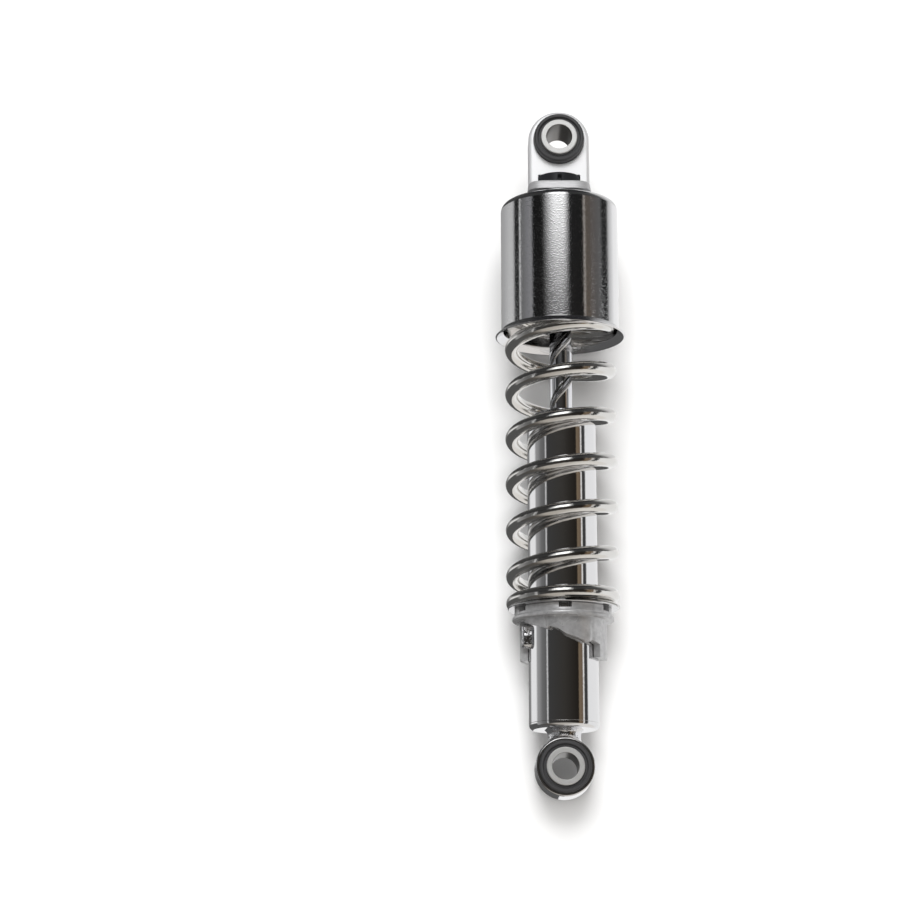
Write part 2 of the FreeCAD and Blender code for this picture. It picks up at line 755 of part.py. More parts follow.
def make_preload_cam():
    """Die-cast ring with a stepped ramp under it, cut from the front and from the back alike."""
    body = new_body("preload_cam")
    ring_outer = skirt_radius + spanner_ring_width
    flange_outer = skirt_radius + flange_width
    revolve(body, [
        (cam_bore_radius, stop_bottom), (skirt_radius, stop_bottom), (skirt_radius, flange_bottom),
        (flange_outer, flange_bottom), (flange_outer, flange_top), (ring_outer, flange_top),
        (ring_outer, cam_top), (cam_bore_radius, cam_top),
    ])
    beyond = skirt_radius + 2
    floor = stop_bottom - 2
    first = ramp_point(CAM_PITCH_DEG)
    second = ramp_point(2 * CAM_PITCH_DEG)
    notch = lug_width * 0.45
    ramp = [
        (-beyond, floor), (-beyond, lug_path(0) + ramp_clearance), ramp_point(0), ramp_point(20),
        ramp_point(38), (first[0] - notch, first[1] + detent_depth), (first[0], first[1] + detent_depth),
        ramp_point(72), ramp_point(98), (second[0] - notch, second[1] + detent_depth),
        (second[0], second[1] + detent_depth), (second[0] + ramp_clearance, floor),
    ]
    sketch = plane_sketch(body, "XZ_Plane", lug_angle)
    draw_outline(sketch, ramp)
    pocket = body.newObject("PartDesign::Pocket", "preload_cam_ramp")
    pocket.Profile = sketch
    pocket.Reversed = True
    pocket.setExpression("Length", beyond.text)
    document.recompute()
    pattern_about_axis(body, pocket, sketch, 2)

    half = lug_width / 2 + valley_clearance
    valley = plane_sketch(body, "YZ_Plane", lug_angle)
    draw_outline(valley, [(-half, floor), (half, floor), (half, valley_top), (-half, valley_top)])
    slot = body.newObject("PartDesign::Pocket", "preload_cam_valley")
    slot.Profile = valley
    slot.Midplane = True
    slot.setExpression("Length", (2 * beyond).text)
    document.recompute()

    spanner = plane_sketch(body, "XZ_Plane")
    slot_half = spanner_slot_width / 2
    slot_floor = cam_top - spanner_slot_depth
    draw_outline(spanner, [(-slot_half, slot_floor), (slot_half, slot_floor), (slot_half, cam_top + 1),
                           (-slot_half, cam_top + 1)])
    notch_cut = body.newObject("PartDesign::Pocket", "preload_cam_spanner_slot")
    notch_cut.Profile = spanner
    notch_cut.Reversed = True
    notch_cut.setExpression("Length", (flange_outer + 1).text)
    document.recompute()
    pattern_about_axis(body, notch_cut, spanner, SPANNER_SLOTS)


def make_cam_lugs():
    """Two upright followers with round ends, welded to the tube on opposite sides."""
    body = new_body("cam_lugs")
    sketch = plane_sketch(body, "YZ_Plane", lug_angle)
    half = lug_width / 2
    draw_outline(sketch, [(-half, lug_base, half * 0.9), (half, lug_base, half * 0.9),
                          (half, lug_top, half * 0.9), (-half, lug_top, half * 0.9)])
    pad = body.newObject("PartDesign::Pad", "cam_lugs_bar")
    pad.Profile = sketch
    pad.Midplane = True
    pad.setExpression("Length", (2 * (body_radius + lug_proud)).text)
    document.recompute()
    turned_cut(body, ring_outline(ZERO, body_radius, lug_base - 1, lug_top + 1))


# ---- damper body ---------------------------------------------------------------------------

def make_body_parts():
    inner_shoulder = shoulder_radius - body_wall
    turned_part("outer_tube", [
        (body_bore_radius, body_bottom), (body_radius, body_bottom), (body_radius, body_top, shoulder_radius),
        (wiper_radius, body_top), (wiper_radius, body_top - body_wall),
        (body_bore_radius, body_top - body_wall, inner_shoulder),
    ])
    turned_part("bottom_cup", [
        (ZERO, cup_bottom), (body_radius, cup_bottom, cup_edge), (body_radius, body_bottom),
        (body_bore_radius, body_bottom), (body_bore_radius, valve_base), (ZERO, valve_base),
    ])
    valve_base_radius = cylinder_bore_radius + cylinder_wall + valve_base_overhang
    valve = turned_part("foot_valve", [
        (valve_bolt_radius, valve_base), (valve_base_radius, valve_base), (valve_base_radius, cylinder_bottom),
        (cylinder_bore_radius, cylinder_bottom), (cylinder_bore_radius, valve_top),
        (valve_bolt_radius, valve_top),
    ])
    drill_ports(valve, valve_top, valve_top - valve_base)
    shims_top = valve_top + shim_thickness
    turned_part("foot_valve_shims", ring_outline(valve_bolt_radius, shim_radius, valve_top, shims_top))
    head_radius = valve_bolt_radius + 2
    turned_part("foot_valve_bolt", [
        (ZERO, valve_base), (valve_bolt_radius, valve_base), (valve_bolt_radius, shims_top),
        (head_radius, shims_top), (head_radius, shims_top + valve_bolt_head), (ZERO, shims_top + valve_bolt_head),
    ])
    cylinder_radius = cylinder_bore_radius + cylinder_wall
    turned_part("inner_cylinder", ring_outline(cylinder_bore_radius, cylinder_radius, cylinder_bottom, guide_bottom))
    bush_bore = rod_radius + running_gap
    bush_outer = bush_bore + guide_bush_wall
    groove_low = guide_top - guide_height / 2
    groove_high = groove_low + guide_groove
    groove_seat = body_bore_radius - guide_groove
    turned_part("rod_guide", [
        (bush_outer, guide_bottom - guide_spigot), (cylinder_bore_radius, guide_bottom - guide_spigot),
        (cylinder_bore_radius, guide_bottom), (body_bore_radius, guide_bottom), (body_bore_radius, groove_low),
        (groove_seat, groove_low), (groove_seat, groove_high), (body_bore_radius, groove_high),
        (body_bore_radius, guide_top), (bush_outer, guide_top),
    ])
    turned_part("guide_ring", ring_outline(groove_seat, body_bore_radius, groove_low, groove_high))
    turned_part("guide_bush", ring_outline(bush_bore, bush_outer, guide_bottom - guide_spigot, guide_top))
    turned_part("rod_seal", ring_outline(bush_bore, seal_radius, guide_top, seal_top))
    cap_top = seal_top + seal_cap_top
    cap_bore = wiper_radius - 0.6
    cap_shoulder = body_bore_radius - inner_shoulder * 0.5
    turned_part("seal_cap", [
        (seal_radius, guide_top), (body_bore_radius, guide_top), (body_bore_radius, shoulder_base),
        (cap_shoulder, cap_top), (cap_bore, cap_top), (cap_bore, seal_top), (seal_radius, seal_top),
    ])
    wiper_bottom = cap_top
    turned_part("dust_wiper", [
        (bush_bore, wiper_bottom), (wiper_radius, wiper_bottom), (wiper_radius, body_top),
        (rod_radius + 1.6, body_top + wiper_stand), (bush_bore, body_top + wiper_stand),
    ])


# ---- the whole unit, from the upper eye down -------------------------------------------------

make_sleeve("upper_sleeve", eye_to_eye)
make_bush("upper_bush", eye_to_eye)
make_upper_eye()
make_locknut()
make_rod_parts()
make_cover_parts()
make_coil_spring()
make_lower_seat()
make_preload_cam()
make_cam_lugs()
make_body_parts()
make_lower_neck()
make_lower_eye()
make_bush("lower_bush", ZERO)
make_sleeve("lower_sleeve", ZERO)
document.recompute()

for item in document.Objects:
    if "Invalid" in item.State or "Error" in item.State:
        raise RuntimeError(f"{item.Name} failed: {item.State}")
for item in subparts:
    if item.Shape.isNull() or not item.Shape.isValid():
        raise RuntimeError(f"{item.Label} has no valid shape")

os.makedirs("parts", exist_ok=True)
for item in subparts:
    item.Shape.exportStep(f"parts/{item.Label}.step")
print(f"{len(subparts)} sub-parts written")
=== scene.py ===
import math

import bmesh
import bpy
from mathutils import Euler, Matrix, Vector
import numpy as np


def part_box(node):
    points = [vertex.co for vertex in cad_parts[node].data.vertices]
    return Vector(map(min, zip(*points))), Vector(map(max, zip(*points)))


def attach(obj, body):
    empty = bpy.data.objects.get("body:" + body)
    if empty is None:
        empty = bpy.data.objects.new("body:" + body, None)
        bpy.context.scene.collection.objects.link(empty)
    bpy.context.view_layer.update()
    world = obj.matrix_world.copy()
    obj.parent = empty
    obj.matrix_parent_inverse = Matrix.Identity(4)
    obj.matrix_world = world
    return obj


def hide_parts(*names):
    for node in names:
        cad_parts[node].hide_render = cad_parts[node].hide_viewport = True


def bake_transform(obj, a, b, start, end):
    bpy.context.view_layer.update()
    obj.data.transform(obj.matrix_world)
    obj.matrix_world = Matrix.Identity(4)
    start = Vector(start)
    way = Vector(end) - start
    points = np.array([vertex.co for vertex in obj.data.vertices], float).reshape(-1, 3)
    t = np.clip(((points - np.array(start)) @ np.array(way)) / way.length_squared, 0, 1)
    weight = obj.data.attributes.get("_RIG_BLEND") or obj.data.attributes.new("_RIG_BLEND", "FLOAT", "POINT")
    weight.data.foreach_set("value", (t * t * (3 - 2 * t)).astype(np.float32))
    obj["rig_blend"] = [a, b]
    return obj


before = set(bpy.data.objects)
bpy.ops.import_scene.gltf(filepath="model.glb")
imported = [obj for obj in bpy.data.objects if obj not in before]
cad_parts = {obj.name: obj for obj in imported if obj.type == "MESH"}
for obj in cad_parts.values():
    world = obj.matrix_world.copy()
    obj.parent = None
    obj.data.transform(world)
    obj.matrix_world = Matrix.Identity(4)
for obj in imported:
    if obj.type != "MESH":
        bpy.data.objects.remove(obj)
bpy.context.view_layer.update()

# ---- Eye sleeves ---------------------------------------------------------------------------
# The stud of the frame passes through a short length of zinc-plated steel tube at each eye.
# It is parted off on a lathe, so its ends are faced and its corners lightly broken.

MM = 0.001


def corner_arc(before, corner, after, radius, pieces=7):
    """The sides that round off one corner: each is (start, end, normal at start, at end)."""
    back = (before - corner).normalized()
    ahead = (after - corner).normalized()
    turn = math.pi - back.angle(ahead)
    reach = radius * math.tan(turn / 2)
    start = corner + back * reach
    inward = (back + ahead).normalized()
    centre = corner + inward * (radius / math.cos(turn / 2))
    spoke = start - centre
    sense = math.copysign(1.0, spoke.cross(corner + ahead * reach - centre))
    convex = sense > 0
    sides = []
    for piece in range(pieces):
        ends = []
        for step in (piece, piece + 1):
            angle = sense * turn * step / pieces
            ends.append(Vector((
                spoke.x * math.cos(angle) - spoke.y * math.sin(angle),
                spoke.x * math.sin(angle) + spoke.y * math.cos(angle),
            )))
        normals = [end.normalized() if convex else -end.normalized() for end in ends]
        sides.append((centre + ends[0], centre + ends[1], normals[0], normals[1]))
    return sides


def profile_sides(corners, closed=True):
    """Sides of an outline of (radius, height[, rounding]) corners, listed outer side upward."""
    points = [Vector(corner[:2]) for corner in corners]
    count = len(points)
    arcs = []
    for index, corner in enumerate(corners):
        inner = closed or 0 < index < count - 1
        if len(corner) == 3 and inner:
            arcs.append(corner_arc(points[index - 1], points[index], points[(index + 1) % count], corner[2]))
        else:
            arcs.append([])
    sides = []
    for index in range(count if closed else count - 1):
        following = (index + 1) % count
        sides.extend(arcs[index])
        start = arcs[index][-1][1] if arcs[index] else points[index]
        end = arcs[following][0][0] if arcs[following] else points[following]
        if (end - start).length > 1e-7:
            along = (end - start).normalized()
            normal = Vector((along.y, -along.x))
            sides.append((start, end, normal, normal))
    return sides


def new_piece(name, verts, faces):
    """Puts a new piece into the scene, from corners in metres."""
    mesh = bpy.data.meshes.new(name)
    mesh.from_pydata(verts, [], faces)
    piece = bpy.data.objects.new(name, mesh)
    bpy.context.collection.objects.link(piece)
    return piece


def turned(name, corners, axis="Z", centre=(0, 0, 0), around=192, closed=True):
    """A piece turned about an axis, with the true surface normal at every corner of its faces."""
    sides = profile_sides(corners, closed)
    rings = [side[0] for side in sides]
    if not closed:
        rings.append(sides[-1][1])
    verts, ring_starts = [], []
    for ring in rings:
        ring_starts.append(len(verts))
        if ring.x < 1e-7:
            verts.append((0.0, 0.0, ring.y))
            continue
        for column in range(around):
            angle = 2 * math.pi * column / around
            verts.append((ring.x * math.cos(angle), ring.x * math.sin(angle), ring.y))
    faces, normals = [], []
    for number, (start, end, start_normal, end_normal) in enumerate(sides):
        low = ring_starts[number]
        high = ring_starts[(number + 1) % len(rings)]
        for column in range(around):
            beside = (column + 1) % around
            face, spins = [], []
            if start.x < 1e-7:
                face.append(low)
                spins.append((column + 0.5, start_normal))
            else:
                face += [low + column, low + beside]
                spins += [(column, start_normal), (column + 1, start_normal)]
            if end.x < 1e-7:
                face.append(high)
                spins.append((column + 0.5, end_normal))
            else:
                face += [high + beside, high + column]
                spins += [(column + 1, end_normal), (column, end_normal)]
            faces.append(face)
            for place, normal in spins:
                angle = 2 * math.pi * place / around
                normals.append((normal.x * math.cos(angle), normal.x * math.sin(angle), normal.y))
    if axis == "Y":
        verts = [(x, z, -y) for x, y, z in verts]
        normals = [(x, z, -y) for x, y, z in normals]
    piece = new_piece(name, [Vector(vert) * MM + Vector(centre) for vert in verts], faces)
    piece.data.polygons.foreach_set("use_smooth", [True] * len(faces))
    piece.data.normals_split_custom_set(normals)
    return piece


def node_span(node):
    """Lowest and highest corner of a CAD node, in millimetres."""
    low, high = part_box(node)
    return Vector(low) / MM, Vector(high) / MM


def new_material(name):
    material = bpy.data.materials.new(name)
    material.use_nodes = True
    tree = material.node_tree
    shader = tree.nodes["Principled BSDF"]
    return material, tree, shader


def place_group(tree, group, **values):
    """Places a shared node group in a material, with the material's own values."""
    node = tree.nodes.new("ShaderNodeGroup")
    node.node_tree = group
    for socket, value in values.items():
        node.inputs[socket.replace("_", " ")].default_value = value
    return node


def put_on(piece, material):
    piece.data.materials.clear()
    piece.data.materials.append(material)


def group_tree(name, inputs, outputs):
    """An empty shared node group with its named sockets."""
    group = bpy.data.node_groups.new(name, "ShaderNodeTree")
    for socket, kind, value in inputs:
        made = group.interface.new_socket(socket, in_out="INPUT", socket_type=kind)
        if value is not None:
            made.default_value = value
    for socket, kind in outputs:
        group.interface.new_socket(socket, in_out="OUTPUT", socket_type=kind)
    entry = group.nodes.new("NodeGroupInput")
    leave = group.nodes.new("NodeGroupOutput")
    return group, entry, leave


def math_node(tree, operation, first, second=None, clamp=False):
    node = tree.nodes.new("ShaderNodeMath")
    node.operation = operation
    node.use_clamp = clamp
    for slot, value in enumerate((first, second)):
        if value is None:
            continue
        if isinstance(value, (int, float)):
            node.inputs[slot].default_value = value
        else:
            tree.links.new(value, node.inputs[slot])
    return node.outputs[0]


def object_noise(tree, scale, detail, stretch=(1, 1, 1)):
    """Noise that is fixed to the object; scale is in features per metre."""
    place = tree.nodes.new("ShaderNodeTexCoord")
    mapping = tree.nodes.new("ShaderNodeMapping")
    mapping.inputs["Scale"].default_value = stretch
    noise = tree.nodes.new("ShaderNodeTexNoise")
    noise.inputs["Scale"].default_value = scale
    noise.inputs["Detail"].default_value = detail
    tree.links.new(place.outputs["Object"], mapping.inputs["Vector"])
    tree.links.new(mapping.outputs["Vector"], noise.inputs["Vector"])
    return noise


def build_surface_wear():
    """Handling wear: broad smudges, fine specks and a little relief for any hard surface."""
    group, entry, leave = group_tree(
        "surface wear",
        [("Base Roughness", "NodeSocketFloat", 0.3), ("Smudge", "NodeSocketFloat", 0.1),
         ("Speck Scale", "NodeSocketFloat", 900.0)],
        [("Roughness", "NodeSocketFloat"), ("Speck", "NodeSocketFloat"), ("Smudges", "NodeSocketFloat")],
    )
    broad = object_noise(group, 38.0, 4.0)
    fine = object_noise(group, 1.0, 2.0)
    group.links.new(entry.outputs["Speck Scale"], fine.inputs["Scale"])
    smudges = math_node(group, "SUBTRACT", broad.outputs["Fac"], 0.5)
    swing = math_node(group, "MULTIPLY", smudges, entry.outputs["Smudge"])
    rough = math_node(group, "ADD", entry.outputs["Base Roughness"], swing, clamp=True)
    group.links.new(rough, leave.inputs["Roughness"])
    group.links.new(fine.outputs["Fac"], leave.inputs["Speck"])
    group.links.new(broad.outputs["Fac"], leave.inputs["Smudges"])
    return group


def add_bump(tree, shader, height, distance, strength=1.0):
    bump = tree.nodes.new("ShaderNodeBump")
    bump.inputs["Distance"].default_value = distance
    bump.inputs["Strength"].default_value = strength
    tree.links.new(height, bump.inputs["Height"])
    tree.links.new(bump.outputs["Normal"], shader.inputs["Normal"])


def mix_colour(tree, factor, first, second):
    node = tree.nodes.new("ShaderNodeMix")
    node.data_type = "RGBA"
    tree.links.new(factor, node.inputs["Factor"])
    for socket, value in (("A", first), ("B", second)):
        slot = next(item for item in node.inputs if item.name == socket and item.type == "RGBA")
        if isinstance(value, tuple):
            slot.default_value = value + (1.0,)
        else:
            tree.links.new(value, slot)
    return next(item for item in node.outputs if item.type == "RGBA")


surface_wear = build_surface_wear()


def worn_finish(name, dark, light, roughness, smudge, speck_scale, metallic):
    """A material of two tones that follow the smudges, with wear in its gloss."""
    material, tree, shader = new_material(name)
    wear = place_group(tree, surface_wear, Base_Roughness=roughness, Smudge=smudge, Speck_Scale=speck_scale)
    tree.links.new(mix_colour(tree, wear.outputs["Smudges"], dark, light), shader.inputs["Base Color"])
    tree.links.new(wear.outputs["Roughness"], shader.inputs["Roughness"])
    shader.inputs["Metallic"].default_value = metallic
    return material, tree, shader, wear


def sleeve_steel():
    """Dull bright plate outside, and painted shade in the bore: the points on the bore are coloured dark."""
    material, tree, shader = new_material("zinc plated steel")
    wear = place_group(tree, surface_wear, Base_Roughness=0.36, Smudge=0.16, Speck_Scale=1400.0)
    plate = mix_colour(tree, wear.outputs["Smudges"], (0.60, 0.60, 0.59), (0.74, 0.74, 0.73))
    bore = tree.nodes.new("ShaderNodeAttribute")
    bore.attribute_name = "bore"
    # Painted shade: the bore's points get a dark colour in place of the shade that falls inside the hole.
    colour = mix_colour(tree, bore.outputs["Fac"], plate, (0.20, 0.19, 0.18))
    tree.links.new(colour, shader.inputs["Base Color"])
    tree.links.new(wear.outputs["Roughness"], shader.inputs["Roughness"])
    shader.inputs["Metallic"].default_value = 0.75
    add_bump(tree, shader, wear.outputs["Speck"], 0.00003, 0.4)
    return material


def mark_bore(piece, radius, centre):
    """Marks the points of a sleeve that lie on its bore, where the material paints shade."""
    mark = piece.data.attributes.new("bore", "FLOAT", "POINT")
    edge = (radius + 0.1) * MM
    for point, place in zip(mark.data, piece.data.vertices):
        point.value = 1.0 if math.hypot(place.co.x, place.co.z - centre * MM) < edge else 0.0


sleeve_metal = sleeve_steel()
low, high = node_span("lower_sleeve")
sleeve_radius = high.x
sleeve_half = high.y
stud_radius = 6.45
sleeve_corners = [
    (stud_radius, -sleeve_half, 0.25), (sleeve_radius, -sleeve_half, 0.5),
    (sleeve_radius, sleeve_half, 0.5), (stud_radius, sleeve_half, 0.25),
]
eye_heights = {}
for node, body in (("upper_sleeve", "upper_stud_sleeve"), ("lower_sleeve", "lower_stud_sleeve")):
    low, high = node_span(node)
    eye_heights[node] = (low.z + high.z) / 2
    sleeve = turned(f"{node}_turned", sleeve_corners, "Y", (0, 0, eye_heights[node] * MM))
    mark_bore(sleeve, stud_radius, eye_heights[node])
    put_on(sleeve, sleeve_metal)
    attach(sleeve, body)
    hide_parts(node)
upper_eye_z = eye_heights["upper_sleeve"]


# ---- Rubber bushes -------------------------------------------------------------------------
# A black rubber ring is moulded round each sleeve and pressed into its eye.  Its open ends
# have a shallow groove beside the sleeve and a soft rounded outer corner.

def bush_rubber():
    material, tree, shader, wear = worn_finish(
        "bush rubber", (0.018, 0.018, 0.019), (0.050, 0.050, 0.052), 0.50, 0.30, 1800.0, 0.0)
    shader.inputs["Specular IOR Level"].default_value = 0.6
    add_bump(tree, shader, wear.outputs["Speck"], 0.00008, 0.5)
    return material


rubber = bush_rubber()
low, high = node_span("lower_bush")
bush_half = high.y
bush_outer = 12.6
bush_bore = sleeve_radius + 0.05
groove_outer = bush_bore + 1.5
groove_floor = bush_half - 1.4
bush_corners = [
    (bush_bore, -groove_floor), (groove_outer, -groove_floor, 0.5), (groove_outer, -bush_half, 0.35),
    (bush_outer, -bush_half, 1.1), (bush_outer, bush_half, 1.1), (groove_outer, bush_half, 0.35),
    (groove_outer, groove_floor, 0.5), (bush_bore, groove_floor),
]
for node, body, height in (("upper_bush", "eye_and_rod", upper_eye_z), ("lower_bush", "damper_body", 0.0)):
    bush = turned(f"{node}_moulded", bush_corners, "Y", (0, 0, height * MM))
    put_on(bush, rubber)
    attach(bush, body)
    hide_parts(node)


# ---- Upper eye block -----------------------------------------------------------------------
# A forged aluminium block, machined to an arch with bevelled faces on a rounded foot.  It is
# bored for the bush and opened out below so that the locknut can be reached with a pin spanner.

def combine(piece, cutters, operation="DIFFERENCE"):
    """Takes cutters out of a piece, or joins them on, and leaves the result as its mesh."""
    for cutter in cutters:
        modifier = piece.modifiers.new("cut", "BOOLEAN")
        modifier.operation = operation
        modifier.solver = "EXACT"
        modifier.object = cutter
    bpy.context.view_layer.update()
    graph = bpy.context.evaluated_depsgraph_get()
    finished = bpy.data.meshes.new_from_object(piece.evaluated_get(graph))
    piece.modifiers.clear()
    piece.data = finished
    for cutter in cutters:
        bpy.data.objects.remove(cutter)


def turn_outward(mesh):
    """Turns every face of a closed mesh to look outward."""
    work = bmesh.new()
    work.from_mesh(mesh)
    bmesh.ops.recalc_face_normals(work, faces=work.faces)
    work.to_mesh(mesh)
    work.free()


def bevelled_plate(name, outline, thickness, bevel, pieces=4):
    """A plate in the XZ plane with its front and back edges bevelled to a soft slope."""
    rings = []
    half = thickness / 2
    for side in (-1, 1):
        for step in range(pieces + 1):
            slope = step / pieces * math.pi / 2
            rising = bevel * (1 - math.cos(slope))
            falling = bevel * (1 - math.sin(slope))
            rings.append((falling, -half + rising) if side < 0 else (rising, half - falling))
    verts, faces = [], []
    for inset, depth in rings:
        for x, z in outline(inset):
            verts.append((x * MM, depth * MM, z * MM))
    count = len(outline(0.0))
    for ring in range(len(rings) - 1):
        for place in range(count):
            beside = (place + 1) % count
            faces.append((ring * count + place, ring * count + beside,
                          (ring + 1) * count + beside, (ring + 1) * count + place))
    faces.append(tuple(reversed(range(count))))
    faces.append(tuple(range((len(rings) - 1) * count, len(rings) * count)))
    piece = new_piece(name, verts, faces)
    turn_outward(piece.data)
    return piece


def shade_by_angle(piece, degrees=28.0):
    piece.data.polygons.foreach_set("use_smooth", [True] * len(piece.data.polygons))
    piece.data.set_sharp_from_angle(angle=math.radians(degrees))


def machined_aluminium():
    material, tree, shader = new_material("machined aluminium")
    wear = place_group(tree, surface_wear, Base_Roughness=0.44, Smudge=0.12, Speck_Scale=1500.0)
    milled = mix_colour(tree, wear.outputs["Smudges"], (0.86, 0.87, 0.88), (0.95, 0.95, 0.96))
    cut_lines = object_noise(tree, 2600.0, 2.0, (0.06, 0.06, 1.0))
    faced = mix_colour(tree, cut_lines.outputs["Fac"], (0.40, 0.40, 0.41), (0.80, 0.80, 0.81))
    place = tree.nodes.new("ShaderNodeTexCoord")
    split = tree.nodes.new("ShaderNodeSeparateXYZ")
    tree.links.new(place.outputs["Object"], split.inputs[0])
    on_foot = math_node(tree, "LESS_THAN", split.outputs["Z"], foot_top * MM)
    colour = mix_colour(tree, on_foot, milled, faced)
    tree.links.new(colour, shader.inputs["Base Color"])
    tree.links.new(wear.outputs["Roughness"], shader.inputs["Roughness"])
    shader.inputs["Metallic"].default_value = 0.6
    grain = object_noise(tree, 900.0, 3.0, (1.0, 1.0, 0.12))
    add_bump(tree, shader, grain.outputs["Fac"], 0.00004, 0.5)
    return material


low, high = node_span("upper_eye")
foot_half = high.x
foot_deep = high.y
foot_height = 4.3
foot_top = low.z + foot_height
aluminium = machined_aluminium()
block_half = bush_outer + 2.8
block_thick = 13.0
block_base = low.z
block_bevel = 1.7
arch_pieces = 72


def arch_outline(inset):
    """The block seen from the front: half a circle over straight sides, with a flat base."""
    reach = block_half - inset
    points = []
    for step in range(arch_pieces + 1):
        angle = math.pi * step / arch_pieces
        points.append((reach * math.cos(angle), upper_eye_z + reach * math.sin(angle)))
    points.append((-reach, block_base))
    points.append((reach, block_base))
    return points


def rounded_foot(name, pieces=160, squareness=4.5):
    """The foot: a rounded rectangle in plan, drawn in a little and softened along its top."""
    levels = ((block_base, 0.0), (block_base + 1.2, 0.15), (foot_top - 1.2, 0.45), (foot_top - 0.5, 0.6),
              (foot_top - 0.15, 0.8), (foot_top, 1.2))
    verts, faces = [], []
    for height, inset in levels:
        for step in range(pieces):
            angle = 2 * math.pi * step / pieces
            across, deep = math.cos(angle), math.sin(angle)
            shape = (abs(across) ** squareness + abs(deep) ** squareness) ** (-1 / squareness)
            x = (foot_half - inset) * shape * across
            y = (foot_deep - inset) * shape * deep
            verts.append((x * MM, y * MM, height * MM))
    for level in range(len(levels) - 1):
        for step in range(pieces):
            beside = (step + 1) % pieces
            faces.append((level * pieces + step, level * pieces + beside,
                          (level + 1) * pieces + beside, (level + 1) * pieces + step))
    faces.append(tuple(reversed(range(pieces))))
    faces.append(tuple(range((len(levels) - 1) * pieces, len(levels) * pieces)))
    return new_piece(name, verts, faces)


eye_block = bevelled_plate("upper_eye_machined", arch_outline, block_thick, block_bevel)
combine(eye_block, [rounded_foot("foot")], "UNION")
bore_reach = block_thick / 2 + 2
bore_chamfer = 0.4
nut_room = 0.3
thread_radius = 5.0
thread_depth = 5.0
bore_cutter = turned("bore_cutter", [
    (0, -bore_reach), (bush_outer + 2.4, -bore_reach), (bush_outer, -block_thick / 2 + bore_chamfer),
    (bush_outer, block_thick / 2 - bore_chamfer), (bush_outer + 2.4, bore_reach), (0, bore_reach),
], "Y", (0, 0, upper_eye_z * MM), around=144, closed=False)
low, high = node_span("locknut")
nut_outer = high.x
nut_base = low.z
nut_top = high.z
nut_cutter = turned("nut_cutter", [
    (0, block_base - 2), (nut_outer + nut_room, block_base - 2),
    (nut_outer + nut_room, nut_top + nut_room, 0.6), (thread_radius, nut_top + nut_room),
    (thread_radius, nut_top + thread_depth), (0, nut_top + thread_depth),
], around=144, closed=False)
combine(eye_block, [bore_cutter, nut_cutter])
shade_by_angle(eye_block)
put_on(eye_block, aluminium)
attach(eye_block, "eye_and_rod")
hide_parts("upper_eye")


# ---- Locknut -------------------------------------------------------------------------------
# A round black-oxide nut with radial pin holes, run down the rod's thread against the block.
# Its upper edge is chamfered where the turning tool left it.

def black_oxide():
    material, tree, shader, wear = worn_finish(
        "black oxide steel", (0.020, 0.022, 0.026), (0.055, 0.056, 0.060), 0.36, 0.25, 1200.0, 0.6)
    add_bump(tree, shader, wear.outputs["Speck"], 0.00005, 0.5)
    return material


locknut = turned("locknut_turned", [
    (thread_radius, nut_base), (nut_outer, nut_base, 0.3),
    (nut_outer, nut_top, 1.1), (thread_radius, nut_top),
])
pin_hole_radius = 1.2
pin_hole_floor = nut_outer - 3.0
pin_hole_z = nut_top - 2.4
pin_cutters = []
for quarter in range(4):
    pin = turned(f"pin_cutter_{quarter}", [
        (0, pin_hole_floor), (pin_hole_radius, pin_hole_floor),
        (pin_hole_radius, nut_outer + 2), (0, nut_outer + 2),
    ], "Y", around=32, closed=False)
    spin = Matrix.Rotation(quarter * math.pi / 2, 4, "Z")
    pin.matrix_world = Matrix.Translation((0, 0, pin_hole_z * MM)) @ spin
    pin_cutters.append(pin)
combine(locknut, pin_cutters)
shade_by_angle(locknut)
put_on(locknut, black_oxide())
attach(locknut, "eye_and_rod")
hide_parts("locknut")


# ---- Upper collar --------------------------------------------------------------------------
# A bar-turned aluminium collar sits on the cover and takes the spring's load to the eye block.
# The lathe leaves fine steps and tool marks round its flared side.

low, high = node_span("upper_collar")
collar_wide = high.x
collar_top = high.z
cover_low, cover_high = node_span("spring_cover")
cover_top = cover_high.z
collar_bore = 5.55
collar_neck = 15.2
collar_spigot = 9.9
collar_corners = [
    (collar_bore, low.z), (collar_spigot, low.z), (collar_spigot, cover_top),
    (collar_wide, cover_top, 0.25), (collar_wide - 0.1, cover_top + 1.6, 0.15),
    (collar_wide - 0.45, cover_top + 1.8, 0.1), (collar_wide - 0.55, cover_top + 3.1, 0.15),
    (collar_neck + 0.3, cover_top + 3.3, 0.1), (collar_neck, collar_top - 0.4, 0.2),
    (collar_neck - 0.4, collar_top, 0.15), (collar_bore, collar_top),
]


def turned_aluminium():
    """Aluminium with the rings that a turning tool leaves."""
    material, tree, shader = new_material("turned aluminium")
    wear = place_group(tree, surface_wear, Base_Roughness=0.30, Smudge=0.12, Speck_Scale=1500.0)
    place = tree.nodes.new("ShaderNodeTexCoord")
    rings = tree.nodes.new("ShaderNodeTexWave")
    rings.wave_type = "BANDS"
    rings.bands_direction = "Z"
    rings.inputs["Scale"].default_value = 550.0
    rings.inputs["Distortion"].default_value = 1.2
    rings.inputs["Detail"].default_value = 3.0
    tree.links.new(place.outputs["Object"], rings.inputs["Vector"])
    colour = mix_colour(tree, rings.outputs["Fac"], (0.60, 0.61, 0.62), (0.84, 0.84, 0.85))
    tree.links.new(colour, shader.inputs["Base Color"])
    tree.links.new(wear.outputs["Roughness"], shader.inputs["Roughness"])
    shader.inputs["Metallic"].default_value = 1.0
    add_bump(tree, shader, rings.outputs["Fac"], 0.00008, 0.6)
    return material


collar = turned("upper_collar_turned", collar_corners)
put_on(collar, turned_aluminium())
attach(collar, "cover")
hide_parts("upper_collar")


# ---- Spring cover --------------------------------------------------------------------------
# A deep-drawn steel shell, polished and chrome plated.  Its top corner is rounded by the draw,
# and its mouth is spun out into a flared lip.

